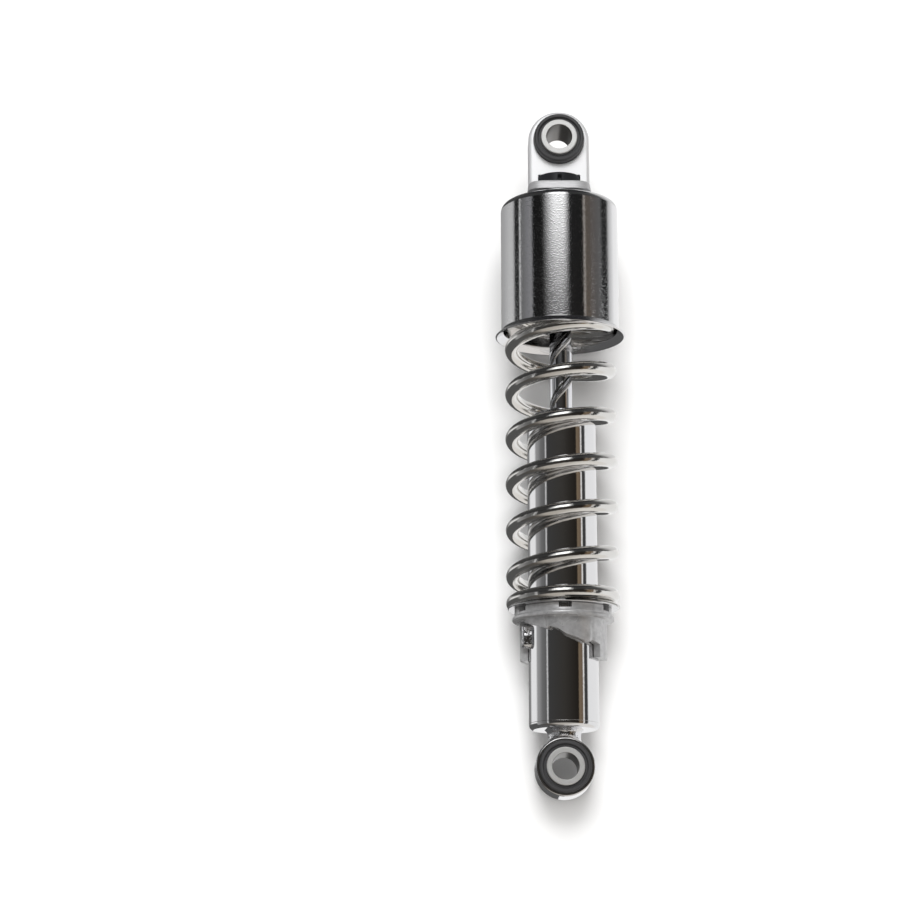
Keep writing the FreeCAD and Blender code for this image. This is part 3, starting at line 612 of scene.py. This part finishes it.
def soft_step(tree, value, low_edge, high_edge):
    """0 at one value and 1 at the other, with a soft change between."""
    node = tree.nodes.new("ShaderNodeMapRange")
    node.interpolation_type = "SMOOTHSTEP"
    node.inputs["From Min"].default_value = low_edge
    node.inputs["From Max"].default_value = high_edge
    tree.links.new(value, node.inputs["Value"])
    return node.outputs["Result"]


def build_plate_ripple():
    """The slow ripple and fine pitting that stay in polished plate."""
    group, entry, leave = group_tree(
        "plate ripple",
        [("Ripple Scale", "NodeSocketFloat", 60.0), ("Pit Scale", "NodeSocketFloat", 2200.0),
         ("Pit Share", "NodeSocketFloat", 0.2)],
        [("Height", "NodeSocketFloat")],
    )
    ripple = object_noise(group, 1.0, 2.0)
    pits = object_noise(group, 1.0, 1.0)
    group.links.new(entry.outputs["Ripple Scale"], ripple.inputs["Scale"])
    group.links.new(entry.outputs["Pit Scale"], pits.inputs["Scale"])
    sparse = soft_step(group, pits.outputs["Fac"], 0.50, 0.70)
    share = math_node(group, "MULTIPLY", sparse, entry.outputs["Pit Share"])
    group.links.new(math_node(group, "ADD", ripple.outputs["Fac"], share), leave.inputs["Height"])
    return group


plate_ripple = build_plate_ripple()


def chrome_plate(name, tint, roughness, ripple, grain=0.1):
    """Bright chrome: a mirror with a faint ripple and a fine grain that shows in its highlights."""
    shade = tuple(channel * 0.93 for channel in tint)
    material, tree, shader, _ = worn_finish(name, shade, tint, roughness, 0.05, 1600.0, 1.0)
    peel = place_group(tree, plate_ripple, Ripple_Scale=45.0, Pit_Scale=1500.0, Pit_Share=grain)
    add_bump(tree, shader, peel.outputs["Height"], ripple, 1.0)
    return material


cover_chrome = chrome_plate("cover chrome", (0.84, 0.84, 0.85), 0.06, 0.00002, 0.42)
cover_wall = 1.2
cover_bore = 28.25
cover_radius = cover_bore + cover_wall
lip_radius = cover_high.x
mouth = cover_low.z
cover = turned("spring_cover_drawn", [
    (collar_spigot, cover_top - cover_wall), (cover_bore, cover_top - cover_wall, 2.4),
    (cover_bore, mouth + 3.0, 0.8),
    (lip_radius - 0.85, mouth, 0.15), (lip_radius, mouth + 0.45, 0.25),
    (cover_radius, mouth + 3.4, 0.5), (cover_radius, cover_top, 3.6), (collar_spigot, cover_top),
], around=256)
put_on(cover, cover_chrome)
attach(cover, "cover")
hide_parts("spring_cover")


# ---- Coil spring ---------------------------------------------------------------------------
# Round steel wire is wound right-handed, its ends are closed and ground flat, and the whole
# spring is polished and chrome plated.  The top end hides in the cover, the other sits on the seat.

seat_low, seat_high = node_span("lower_spring_seat")
isolator_low, isolator_high = node_span("spring_isolator")
seat_thickness = 0.9
seat_top = seat_low.z + seat_thickness
spring_ceiling = isolator_low.z
wire_radius = 3.4
spring_outer = 27.75
coil_radius = spring_outer - wire_radius
closed_turns = 1.35
active_turns = 8.25
easing_turns = 0.30
closed_pitch = 2 * wire_radius + 0.15
ground_depth = 2.9
total_turns = 2 * closed_turns + active_turns
first_z = seat_top - ground_depth
last_z = spring_ceiling + ground_depth
active_pitch = (last_z - first_z - 2 * closed_turns * closed_pitch) / active_turns


def pitch_share(turn):
    """0 in a closed end coil and 1 in an active coil, with a smooth change between."""
    inside = min(turn, total_turns - turn)
    along = (inside - closed_turns + easing_turns / 2) / easing_turns
    along = min(1.0, max(0.0, along))
    return along * along * (3 - 2 * along)


steps_per_turn = 96
wire_sides = 28
ring_count = round(total_turns * steps_per_turn) + 1
levels = [first_z]
shares = [0.0]
for ring in range(1, ring_count):
    turn = (ring - 0.5) * total_turns / (ring_count - 1)
    share = pitch_share(turn)
    pitch = closed_pitch + (active_pitch - closed_pitch) * share
    levels.append(levels[-1] + pitch * total_turns / (ring_count - 1))
    shares.append(shares[-1] + share)
verts = []
ring_weights = []
for ring, level in enumerate(levels):
    angle = 2 * math.pi * ring * total_turns / (ring_count - 1) - math.pi / 2
    outward = Vector((math.cos(angle), math.sin(angle), 0))
    rise = (active_pitch if 0 < ring < ring_count - 1 else closed_pitch) / (2 * math.pi * coil_radius)
    along = Vector((-math.sin(angle), math.cos(angle), 0))
    upward = Vector((0, 0, 1)) - along * rise
    upward.normalize()
    centre = outward * coil_radius + Vector((0, 0, level))
    for side in range(wire_sides):
        around_wire = 2 * math.pi * side / wire_sides
        point = centre + (outward * math.cos(around_wire) + upward * math.sin(around_wire)) * wire_radius
        point.z = min(max(point.z, seat_top), spring_ceiling)
        verts.append(point * MM)
        ring_weights.append(1.0 - shares[ring] / shares[-1])
faces = []
for ring in range(ring_count - 1):
    for side in range(wire_sides):
        beside = (side + 1) % wire_sides
        faces.append((ring * wire_sides + side, (ring + 1) * wire_sides + side,
                      (ring + 1) * wire_sides + beside, ring * wire_sides + beside))
faces.append(tuple(range(wire_sides)))
faces.append(tuple(reversed(range((ring_count - 1) * wire_sides, ring_count * wire_sides))))
spring = new_piece("coil_spring_wound", verts, faces)
shade_by_angle(spring, 35.0)
spring_chrome = chrome_plate("spring chrome", (0.80, 0.79, 0.77), 0.10, 0.00003, 0.3)
put_on(spring, spring_chrome)
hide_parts("coil_spring")
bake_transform(spring, "cover", "lower_seat", start=(0, 0, spring_ceiling * MM), end=(0, 0, seat_top * MM))
coil_weights = spring.data.attributes["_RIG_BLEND"]
coil_weights.data.foreach_set("value", ring_weights)


# ---- Upper spring seat, isolator and bump stop ---------------------------------------------
# Inside the cover a pressed steel seat centres the spring on a plastic ring, and a urethane
# stop is pushed on the rod to soften the end of the stroke.

def moulded_black(name, roughness, low_tone, high_tone):
    material, tree, shader, wear = worn_finish(name, low_tone, high_tone, roughness, 0.2, 1500.0, 0.0)
    add_bump(tree, shader, wear.outputs["Speck"], 0.0001, 0.5)
    return material


def pressed_steel():
    material, tree, shader, wear = worn_finish(
        "bright plated pressing", (0.70, 0.70, 0.70), (0.84, 0.84, 0.85), 0.22, 0.14, 1300.0, 1.0)
    add_bump(tree, shader, wear.outputs["Speck"], 0.00003, 0.4)
    return material


seat_steel = pressed_steel()
low, high = node_span("upper_spring_seat")
seat_plate = isolator_high.z
spigot_gap = 0.5
spigot_outer = spring_outer - 2 * wire_radius - spigot_gap
upper_seat = turned("upper_spring_seat_pressed", [
    (5.55, seat_plate), (spigot_outer - 2.5, seat_plate, 0.8), (spigot_outer - 2.5, low.z, 0.4),
    (spigot_outer, low.z, 0.8), (spigot_outer, seat_plate, 0.6), (high.x, seat_plate, 0.3),
    (high.x, high.z, 0.3), (5.55, high.z),
])
put_on(upper_seat, seat_steel)
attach(upper_seat, "cover")
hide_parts("upper_spring_seat")

isolator = turned("spring_isolator_moulded", [
    (spigot_outer, isolator_low.z), (isolator_high.x, isolator_low.z, 0.2),
    (isolator_high.x, isolator_high.z, 0.2), (spigot_outer, isolator_high.z),
])
put_on(isolator, moulded_black("isolator plastic", 0.45, (0.03, 0.03, 0.03), (0.06, 0.06, 0.06)))
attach(isolator, "cover")
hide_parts("spring_isolator")

low, high = node_span("bump_stop")
stop_mid = (low.z + high.z) / 2
bump_stop = turned("bump_stop_moulded", [
    (5.5, low.z), (8.1, low.z, 0.8), (9.3, low.z + 6, 1.5), (7.8, stop_mid - 1.5, 1.0),
    (7.8, stop_mid + 1.5, 1.0), (high.x, high.z - 6, 1.5), (high.x, high.z, 1.0), (5.5, high.z),
], around=128)
put_on(bump_stop, moulded_black("bump stop urethane", 0.7, (0.05, 0.045, 0.035), (0.09, 0.085, 0.07)))
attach(bump_stop, "eye_and_rod")
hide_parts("bump_stop")


# ---- Damper rod ----------------------------------------------------------------------------
# Hardened steel, ground and hard chromed.  Its top is threaded for the locknut and the block,
# and a spigot at its lower end carries the piston.

rod_low, rod_high = node_span("damper_rod")
rod_chrome = chrome_plate("rod chrome", (0.84, 0.85, 0.88), 0.05, 0.000004)
rod_corners = [
    (0, rod_low.z), (4.0, rod_low.z, 0.4), (4.0, rod_low.z + 17.6), (5.5, rod_low.z + 17.6, 0.4),
    (5.5, collar_top, 0.4),
]
thread_pitch = 1.25
thread_z = collar_top
while thread_z < rod_high.z - 1.5 * thread_pitch:
    rod_corners.append((4.35, thread_z + 0.15))
    rod_corners.append((4.98, thread_z + 0.15 + thread_pitch / 2))
    thread_z += thread_pitch
rod_corners += [(4.35, thread_z + 0.15), (4.35, rod_high.z, 0.3), (0, rod_high.z)]
rod = turned("damper_rod_ground", rod_corners, around=128, closed=False)
put_on(rod, rod_chrome)
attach(rod, "eye_and_rod")
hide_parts("damper_rod")


# ---- Damper tube, wiper and bottom cup -----------------------------------------------------
# Drawn steel tube whose top is rolled over the seal to a large round shoulder.  The bottom cup
# is welded in, ground flush and polished before tube, neck and ring are chromed together.

tube_chrome = chrome_plate("tube chrome", (0.83, 0.83, 0.84), 0.06, 0.000015, 0.15)
tube_low, tube_high = node_span("outer_tube")
tube_radius = 17.0
tube_wall = 1.5
wiper_radius = 8.5
tube = turned("outer_tube_drawn", [
    (tube_radius - tube_wall, tube_low.z), (tube_radius, tube_low.z, 0.12), (tube_radius, tube_high.z, 6.9),
    (wiper_radius, tube_high.z, 0.5), (wiper_radius, tube_high.z - tube_wall, 0.3),
    (tube_radius - tube_wall, tube_high.z - tube_wall, 5.4),
], around=224)
put_on(tube, tube_chrome)
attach(tube, "damper_body")
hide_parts("outer_tube")

low, high = node_span("dust_wiper")
wiper = turned("dust_wiper_moulded", [
    (5.53, low.z), (wiper_radius, low.z), (wiper_radius, tube_high.z - 0.2, 0.3),
    (7.4, tube_high.z + 0.1, 0.3), (6.4, high.z, 0.3), (5.53, high.z),
], around=128)
wiper_rubber = moulded_black("wiper rubber", 0.42, (0.018, 0.018, 0.018), (0.035, 0.035, 0.035))
put_on(wiper, wiper_rubber)
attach(wiper, "damper_body")
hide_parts("dust_wiper")

cup_low, cup_high = node_span("bottom_cup")
cup = turned("bottom_cup_pressed", [
    (0, cup_low.z), (tube_radius, cup_low.z, 2.3), (tube_radius, tube_low.z, 0.12),
    (tube_radius - tube_wall, tube_low.z), (tube_radius - tube_wall, cup_high.z, 0.4), (0, cup_high.z),
], around=224, closed=False)
put_on(cup, tube_chrome)
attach(cup, "damper_body")
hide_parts("bottom_cup")


# ---- Cam followers -------------------------------------------------------------------------
# Two upright steel lugs with round ends, projection welded to the tube on opposite sides and
# chromed with it.  The preload cam rides on their upper ends.

low, high = node_span("cam_lugs")
lug_base = low.z
lug_top = high.z
lug_half = 2.5
lug_reach = 20.9
lug_root = tube_radius - 0.3
lug_turn_deg = 13.0


def follower_mesh(work, turn_deg):
    """One follower: a bar with round ends and a softly domed outer face."""
    pieces = 10
    outline = []
    for end, centre_z in ((1, lug_top - lug_half), (-1, lug_base + lug_half)):
        for step in range(pieces + 1):
            angle = math.pi * step / pieces
            across = lug_half * math.cos(angle) * end
            outline.append((across, centre_z + lug_half * math.sin(angle) * end, centre_z))
    spin = Matrix.Rotation(math.radians(turn_deg), 4, "Z")
    rows = ((0.0, 1.25), (0.2, 1.08), (0.4, 1.0), (0.68, 0.99), (0.84, 0.93), (0.94, 0.82), (0.99, 0.62),
            (1.0, 0.3))
    rings = []
    for depth, size in rows:
        reach = lug_root + (lug_reach - lug_root) * depth
        ring = []
        for across, up, centre_z in outline:
            place = Vector((reach, across * size, centre_z + (up - centre_z) * size))
            ring.append(work.verts.new(spin @ (place * MM)))
        rings.append(ring)
    count = len(outline)
    for inner, outer in zip(rings, rings[1:]):
        for place in range(count):
            beside = (place + 1) % count
            work.faces.new((inner[place], inner[beside], outer[beside], outer[place]))
    work.faces.new(rings[-1])
    work.faces.new(tuple(reversed(rings[0])))


def weld_chrome():
    """Chrome laid over welded and cast steel that was only dressed, so it stays lumpy."""
    material, tree, shader, _ = worn_finish(
        "chromed weld", (0.74, 0.74, 0.76), (0.84, 0.84, 0.85), 0.12, 0.08, 1600.0, 1.0)
    lumps = object_noise(tree, 420.0, 3.0)
    add_bump(tree, shader, lumps.outputs["Fac"], 0.0006, 1.0)
    return material


welded = weld_chrome()
lugs_mesh = bpy.data.meshes.new("cam_lugs_welded")
work = bmesh.new()
for side_deg in (0.0, 180.0):
    follower_mesh(work, side_deg + lug_turn_deg)
bmesh.ops.recalc_face_normals(work, faces=work.faces)
work.to_mesh(lugs_mesh)
work.free()
lugs = bpy.data.objects.new("cam_lugs_welded", lugs_mesh)
bpy.context.collection.objects.link(lugs)
shade_by_angle(lugs, 50.0)
put_on(lugs, welded)
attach(lugs, "damper_body")
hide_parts("cam_lugs")


# ---- Lower spring seat ---------------------------------------------------------------------
# A thin pressed washer with a low collar that centres the spring, bright plated.  It turns
# freely on the cam, so the spring isn't wound up when the preload is changed.

cam_bore = tube_radius + 0.35
# The gap keeps two flat faces out of one plane when the preload is turned up.
seat_gap = 0.05
seat_under = seat_low.z + seat_gap
lower_seat = turned("lower_spring_seat_pressed", [
    (cam_bore, seat_under), (seat_high.x, seat_under, 0.4), (seat_high.x, seat_top, 0.4),
    (spigot_outer, seat_top, 0.5), (spigot_outer, seat_high.z, 0.8), (cam_bore, seat_high.z, 0.3),
])
put_on(lower_seat, seat_steel)
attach(lower_seat, "lower_seat")
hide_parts("lower_spring_seat")


# ---- Preload cam ---------------------------------------------------------------------------
# Die-cast in zinc and tumbled to a satin finish.  Slots in its rim take a hook spanner, and the
# stepped ramp round its skirt climbs the followers to load the spring.

cam_low, cam_high = node_span("preload_cam")
cam_top = cam_high.z
skirt_outer = cam_bore + 3.8
rim_outer = skirt_outer + 2.55
flange_outer = cam_high.x
flange_top = cam_top - 4.1
flange_bottom = flange_top - 1.8
stop_bottom = cam_low.z
cam_step = 6.3
cam_pitch = 60.0
follower_lead = 9.5
notch_rise = 1.5
ramp_gap = 0.35
valley_half = 12.5
valley_top = lug_top + notch_rise
slot_depth = 2.3
slot_width = 6.3
slot_half_deg = math.degrees(math.asin(slot_width / 2 / rim_outer))


def smooth_step(value, low_edge, high_edge):
    along = min(1.0, max(0.0, (value - low_edge) / (high_edge - low_edge)))
    return along * along * (3 - 2 * along)


def skirt_edge(angle_deg):
    """Height of the skirt's lower edge, angle_deg round from the front towards +X."""
    turn = (angle_deg - (lug_turn_deg - 90.0)) % 180.0
    if turn < valley_half or turn > 180.0 - valley_half:
        return valley_top
    ramp_end = 2 * cam_pitch + follower_lead
    if turn > ramp_end + 1.5:
        return stop_bottom
    height = lug_top - cam_step * max(turn - follower_lead, 0.0) / cam_pitch + ramp_gap
    for notch in (cam_pitch, 2 * cam_pitch):
        rise = smooth_step(turn, notch - 9.0, notch - 4.0)
        fall = 1.0 - smooth_step(turn, notch + 5.0, notch + 20.0)
        if notch > cam_pitch:
            fall = 1.0
        height += notch_rise * min(rise, fall)
    return height


def rim_height(angle_deg):
    """Height of the rim, which drops in each spanner slot."""
    from_slot = (angle_deg + 30.0) % 60.0 - 30.0
    return cam_top - slot_depth if abs(from_slot) < slot_half_deg else cam_top


def cam_column(angle_deg):
    """The cam's section at one angle, as (radius, height) from the bore's top outward and down."""
    top = rim_height(angle_deg)
    edge = skirt_edge(angle_deg)
    soft = 0.35
    points = [(cam_bore, top - 0.1), (cam_bore + 0.1, top), (rim_outer - soft, top),
              (rim_outer - 0.1, top - 0.1), (rim_outer, top - soft), (rim_outer, flange_top + 0.5),
              (rim_outer + 0.3, flange_top + 0.05),
              (flange_outer - soft, flange_top), (flange_outer - 0.1, flange_top - 0.1),
              (flange_outer, flange_top - soft), (flange_outer, flange_bottom + soft),
              (flange_outer - 0.1, flange_bottom + 0.1), (flange_outer - soft, flange_bottom),
              (skirt_outer + 0.8, flange_bottom), (skirt_outer + 0.22, flange_bottom - 0.22),
              (skirt_outer, flange_bottom - 0.8),
              (skirt_outer, edge + soft), (skirt_outer - 0.1, edge + 0.1), (skirt_outer - soft, edge),
              (cam_bore + soft, edge), (cam_bore + 0.1, edge + 0.1), (cam_bore, edge + soft)]
    return points


columns = 1440
verts, faces = [], []
for column in range(columns):
    angle_deg = 360.0 * column / columns
    angle = math.radians(angle_deg)
    for radius, height in cam_column(angle_deg):
        verts.append((radius * math.sin(angle) * MM, -radius * math.cos(angle) * MM, height * MM))
section = len(cam_column(0.0))
for column in range(columns):
    beside = (column + 1) % columns
    for place in range(section):
        after = (place + 1) % section
        faces.append((column * section + place, beside * section + place,
                      beside * section + after, column * section + after))
cam = new_piece("preload_cam_cast", verts, faces)
turn_outward(cam.data)
shade_by_angle(cam, 32.0)


def tumbled_zinc():
    material, tree, shader = new_material("tumbled zinc casting")
    wear = place_group(tree, surface_wear, Base_Roughness=0.30, Smudge=0.25, Speck_Scale=1100.0)
    pores = object_noise(tree, 420.0, 5.0)
    tone = mix_colour(tree, wear.outputs["Smudges"], (0.52, 0.52, 0.525), (0.84, 0.84, 0.845))
    colour = mix_colour(tree, pores.outputs["Fac"], (0.30, 0.30, 0.305), tone)
    tree.links.new(colour, shader.inputs["Base Color"])
    tree.links.new(wear.outputs["Roughness"], shader.inputs["Roughness"])
    shader.inputs["Metallic"].default_value = 0.62
    add_bump(tree, shader, pores.outputs["Fac"], 0.00012, 0.6)
    return material


put_on(cam, tumbled_zinc())
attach(cam, "cam")
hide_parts("preload_cam")


# ---- Neck and lower eye ring ---------------------------------------------------------------
# A short waisted neck joins the ring to the bottom cup.  Both joints are welded all round,
# dressed by hand and chromed, so the neck flares into its neighbours and stays a little lumpy.

neck_waist = 8.0
neck_wide = 9.6
ring_wall = 1.7
ring_radius = bush_outer + ring_wall
ring_half = node_span("lower_eye")[1].y
neck_rows = 18
neck_columns = 128
verts, faces = [], []
for row in range(neck_rows + 1):
    along = row / neck_rows
    for column in range(neck_columns):
        angle = 2 * math.pi * column / neck_columns
        flare = (2 * along - 1) ** 2
        radius = neck_waist + (neck_wide - neck_waist) * flare ** 1.6
        x = radius * math.cos(angle)
        foot = math.sqrt(ring_radius ** 2 - x * x) - 0.5
        height = foot + (cup_low.z + 0.02 - foot) * along
        verts.append((x * MM, radius * math.sin(angle) * MM, height * MM))
for row in range(neck_rows):
    for column in range(neck_columns):
        beside = (column + 1) % neck_columns
        faces.append((row * neck_columns + column, row * neck_columns + beside,
                      (row + 1) * neck_columns + beside, (row + 1) * neck_columns + column))
faces.append(tuple(reversed(range(neck_columns))))
faces.append(tuple(range(neck_rows * neck_columns, (neck_rows + 1) * neck_columns)))
neck = new_piece("lower_neck_welded", verts, faces)
shade_by_angle(neck, 40.0)
put_on(neck, welded)
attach(neck, "damper_body")
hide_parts("lower_neck")

ring = turned("lower_eye_ring", [
    (bush_outer, -ring_half, 0.3), (ring_radius, -ring_half, 0.9), (ring_radius, ring_half, 0.9),
    (bush_outer, ring_half, 0.3),
], "Y")
put_on(ring, tube_chrome)
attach(ring, "damper_body")
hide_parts("lower_eye")


# ---- Pieces sealed inside the damper -------------------------------------------------------
# Piston, valves, guide and seals stay as they were designed.  They get the finish of what they
# are made of: bright steel, sintered iron, bronze, filled plastic and oiled rubber.

def metal_finish(name, dark, light, roughness, grain):
    material, tree, shader, wear = worn_finish(name, dark, light, roughness, 0.15, grain, 1.0)
    add_bump(tree, shader, wear.outputs["Speck"], 0.00005, 0.5)
    return material


drawn_steel = metal_finish("drawn steel", (0.55, 0.55, 0.56), (0.68, 0.68, 0.69), 0.28, 1200.0)
sintered_iron = metal_finish("sintered iron", (0.20, 0.20, 0.21), (0.36, 0.36, 0.37), 0.55, 2000.0)
bearing_bronze = metal_finish("bearing bronze", (0.50, 0.34, 0.16), (0.68, 0.50, 0.26), 0.30, 1400.0)
filled_ptfe = moulded_black("bronze filled ring", 0.5, (0.28, 0.20, 0.14), (0.38, 0.29, 0.21))
inner_finishes = {
    "rebound_stop": rubber, "compression_shims": drawn_steel, "piston": sintered_iron,
    "piston_ring": filled_ptfe, "rebound_shims": drawn_steel, "piston_nut": drawn_steel,
    "foot_valve": sintered_iron, "foot_valve_shims": drawn_steel, "foot_valve_bolt": drawn_steel,
    "inner_cylinder": drawn_steel, "rod_guide": sintered_iron, "guide_ring": wiper_rubber,
    "guide_bush": bearing_bronze, "rod_seal": wiper_rubber, "seal_cap": drawn_steel,
}
for node, finish in inner_finishes.items():
    put_on(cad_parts[node], finish)


# ---- Table, light and camera ---------------------------------------------------------------
# The unit lies on its back on a white table, seen from over its lower half.  A light tent with
# a dark opening towards the camera gives the chrome its dark middle and bright edges.

def edge(tree, angle, dark_deg, light_deg):
    """A soft change from 0 to 1 between two angles of the tent."""
    return soft_step(tree, angle, math.radians(dark_deg), math.radians(light_deg))


def around_tent(tree, share, stops):
    """What the tent shows all the way round at one height: colours placed by azimuth in degrees."""
    node = tree.nodes.new("ShaderNodeValToRGB")
    ramp = node.color_ramp
    while len(ramp.elements) < len(stops):
        ramp.elements.new(0.5)
    for element, (degrees, colour) in zip(ramp.elements, stops):
        element.position = degrees / 360.0 + 0.5
        element.color = colour + (1.0,)
    tree.links.new(share, node.inputs["Fac"])
    return node.outputs["Color"]


def tent_world():
    """Light tent: a dark opening in front, slim bright gaps and grey walls beside it, white behind
    to the right."""
    world = bpy.data.worlds.new("light tent")
    world.use_nodes = True
    bpy.context.scene.world = world
    tree = world.node_tree
    backdrop = tree.nodes["Background"]
    place = tree.nodes.new("ShaderNodeTexCoord")
    split = tree.nodes.new("ShaderNodeSeparateXYZ")
    tree.links.new(place.outputs["Generated"], split.inputs[0])
    x, y, z = split.outputs
    azimuth = math_node(tree, "ARCTAN2", x, math_node(tree, "MULTIPLY", y, -1.0))
    share = math_node(tree, "ADD", math_node(tree, "DIVIDE", azimuth, 2 * math.pi), 0.5)
    height = math_node(tree, "ARCSINE", z)
    near_table = around_tent(tree, share, [
        (-180, (0.22, 0.22, 0.22)), (-146, (0.22, 0.22, 0.22)), (-134, (0.90, 0.90, 0.90)),
        (-106, (0.90, 0.90, 0.90)), (-99, (0.34, 0.34, 0.34)), (-90, (0.30, 0.30, 0.30)),
        (-78, (0.17, 0.17, 0.17)), (-61, (0.12, 0.12, 0.12)), (-59, (0.65, 0.65, 0.65)),
        (-57, (0.65, 0.65, 0.65)), (-54, (0.05, 0.05, 0.05)), (0, (0.040, 0.037, 0.033)),
        (46, (0.018, 0.015, 0.012)), (49, (0.20, 0.15, 0.10)), (62, (0.16, 0.115, 0.08)),
        (64, (0.85, 0.84, 0.82)), (67, (0.85, 0.84, 0.82)), (69, (0.05, 0.05, 0.05)),
        (80, (0.05, 0.05, 0.05)), (84, (0.90, 0.90, 0.90)), (180, (0.92, 0.92, 0.92)),
    ])
    middle_height = around_tent(tree, share, [
        (-180, (0.30, 0.30, 0.30)), (-141, (0.42, 0.42, 0.42)), (-116, (0.55, 0.55, 0.55)),
        (-106, (0.50, 0.50, 0.50)), (-100, (0.02, 0.02, 0.02)), (-90, (0.02, 0.02, 0.02)),
        (-87, (0.70, 0.70, 0.70)), (-83, (0.14, 0.14, 0.14)), (-66, (0.23, 0.23, 0.24)),
        (-60, (0.25, 0.25, 0.26)), (-55, (0.01, 0.01, 0.01)), (-36, (0.01, 0.01, 0.01)),
        (-26, (0.06, 0.06, 0.06)), (0, (0.10, 0.10, 0.10)), (20, (0.015, 0.015, 0.015)),
        (44, (0.012, 0.012, 0.012)), (48, (0.40, 0.37, 0.34)), (51, (0.10, 0.085, 0.07)),
        (69, (0.11, 0.10, 0.095)), (84, (0.12, 0.12, 0.12)), (92, (0.02, 0.02, 0.02)),
        (104, (0.02, 0.02, 0.02)), (112, (0.55, 0.55, 0.55)), (130, (0.95, 0.95, 0.95)),
        (180, (0.95, 0.95, 0.95)),
    ])
    tent_roof = around_tent(tree, share, [
        (-180, (0.10, 0.10, 0.10)), (-100, (0.05, 0.05, 0.05)), (-40, (0.04, 0.04, 0.04)),
        (40, (0.04, 0.04, 0.04)), (90, (0.10, 0.10, 0.10)), (125, (0.70, 0.70, 0.70)),
        (180, (0.80, 0.80, 0.80)),
    ])
    tent_floor = around_tent(tree, share, [
        (-180, (0.16, 0.15, 0.14)), (-110, (0.08, 0.08, 0.08)), (-60, (0.10, 0.09, 0.08)),
        (-35, (0.45, 0.42, 0.38)), (20, (0.55, 0.52, 0.48)), (70, (0.80, 0.77, 0.73)),
        (180, (0.85, 0.83, 0.81)),
    ])
    box_wide = math_node(tree, "MULTIPLY", edge(tree, azimuth, -38, -8), edge(tree, azimuth, 20, 4))
    box_high = math_node(tree, "MULTIPLY", edge(tree, height, 15.6, 22.5), edge(tree, height, 54, 50))
    box_light = math_node(tree, "MULTIPLY", box_wide, box_high)
    lit = mix_colour(tree, edge(tree, height, 14.3, 15.7), near_table, middle_height)
    lit = mix_colour(tree, edge(tree, height, 20, 23), lit, tent_roof)
    lit = mix_colour(tree, edge(tree, height, 54, 62), lit, (0.03, 0.03, 0.032))
    lit = mix_colour(tree, edge(tree, height, -22, -30), lit, tent_floor)
    behind_left = math_node(tree, "MULTIPLY", edge(tree, azimuth, -98, -106), edge(tree, height, 6, 2))
    lit = mix_colour(tree, behind_left, lit, (0.10, 0.10, 0.10))
    lit = mix_colour(tree, box_light, lit, (2.0, 2.0, 2.0))
    rays = tree.nodes.new("ShaderNodeLightPath")
    seen = mix_colour(tree, rays.outputs["Is Camera Ray"], lit, (1.0, 1.0, 1.0))
    tree.links.new(seen, backdrop.inputs["Color"])
    backdrop.inputs["Strength"].default_value = 1.0


tent_world()

rest_low = Vector((0, sleeve_half, 0)) * MM
rest_high = Vector((0, lip_radius, mouth)) * MM
table_run = (rest_high - rest_low).normalized()
table_gap = 2.5 * MM
table_middle = rest_low + Vector((0, table_gap, 0))
table_side = Vector((3, 0, 0))
table = new_piece("table", [
    table_middle - table_side - 3 * table_run, table_middle + table_side - 3 * table_run,
    table_middle + table_side + 3 * table_run, table_middle - table_side + 3 * table_run,
], [(0, 1, 2, 3)])
table_white, table_tree, table_shader = new_material("white table")
table_shader.inputs["Base Color"].default_value = (0.9, 0.9, 0.9, 1.0)
table_shader.inputs["Roughness"].default_value = 0.8
paper = object_noise(table_tree, 300.0, 2.0)
add_bump(table_tree, table_shader, paper.outputs["Fac"], 0.0001, 0.1)
facing = table_tree.nodes.new("ShaderNodeNewGeometry")
clear = table_tree.nodes.new("ShaderNodeBsdfTransparent")
choice = table_tree.nodes.new("ShaderNodeMixShader")
table_tree.links.new(facing.outputs["Backfacing"], choice.inputs["Fac"])
table_tree.links.new(table_shader.outputs["BSDF"], choice.inputs[1])
table_tree.links.new(clear.outputs["BSDF"], choice.inputs[2])
table_tree.links.new(choice.outputs["Shader"], table_tree.nodes["Material Output"].inputs["Surface"])
put_on(table, table_white)
table.visible_glossy = False


def softbox(name, direction, distance, width, depth, power):
    """A soft rectangular light that faces the middle of the unit."""
    middle = Vector((0, 0, upper_eye_z / 2 * MM))
    light = bpy.data.lights.new(name, "AREA")
    light.shape = "RECTANGLE"
    light.size = width
    light.size_y = depth
    light.energy = power
    lamp = bpy.data.objects.new(name, light)
    lamp.location = middle + Vector(direction).normalized() * distance
    lamp.rotation_euler = Vector(direction).to_track_quat("Z", "Y").to_euler()
    bpy.context.collection.objects.link(lamp)
    return lamp


key = softbox("overhead softbox", (-0.05, -1.0, 0.75), 1.6, 1.0, 0.9, 16.0)
fill = softbox("tent fill", (0.0, -1.0, 0.0), 2.2, 2.5, 2.5, 40.0)
for lamp in (key, fill):
    lamp.visible_glossy = False

view_tilt = math.radians(13.3)
view_distance = 1.2384
view_height = 157.4
view_shift = -0.0552
look_at = Vector((view_shift, 0, view_height * MM))
camera_data = bpy.data.cameras.new("camera")
camera_data.sensor_width = 36.0
camera_data.lens = 100.0
camera = bpy.data.objects.new("camera", camera_data)
camera.location = look_at + Vector((0, -math.cos(view_tilt), -math.sin(view_tilt))) * view_distance
camera.rotation_euler = Euler((math.pi / 2 + view_tilt, 0, 0))
bpy.context.collection.objects.link(camera)
bpy.context.scene.camera = camera
bpy.context.scene.view_settings.view_transform = "Standard"
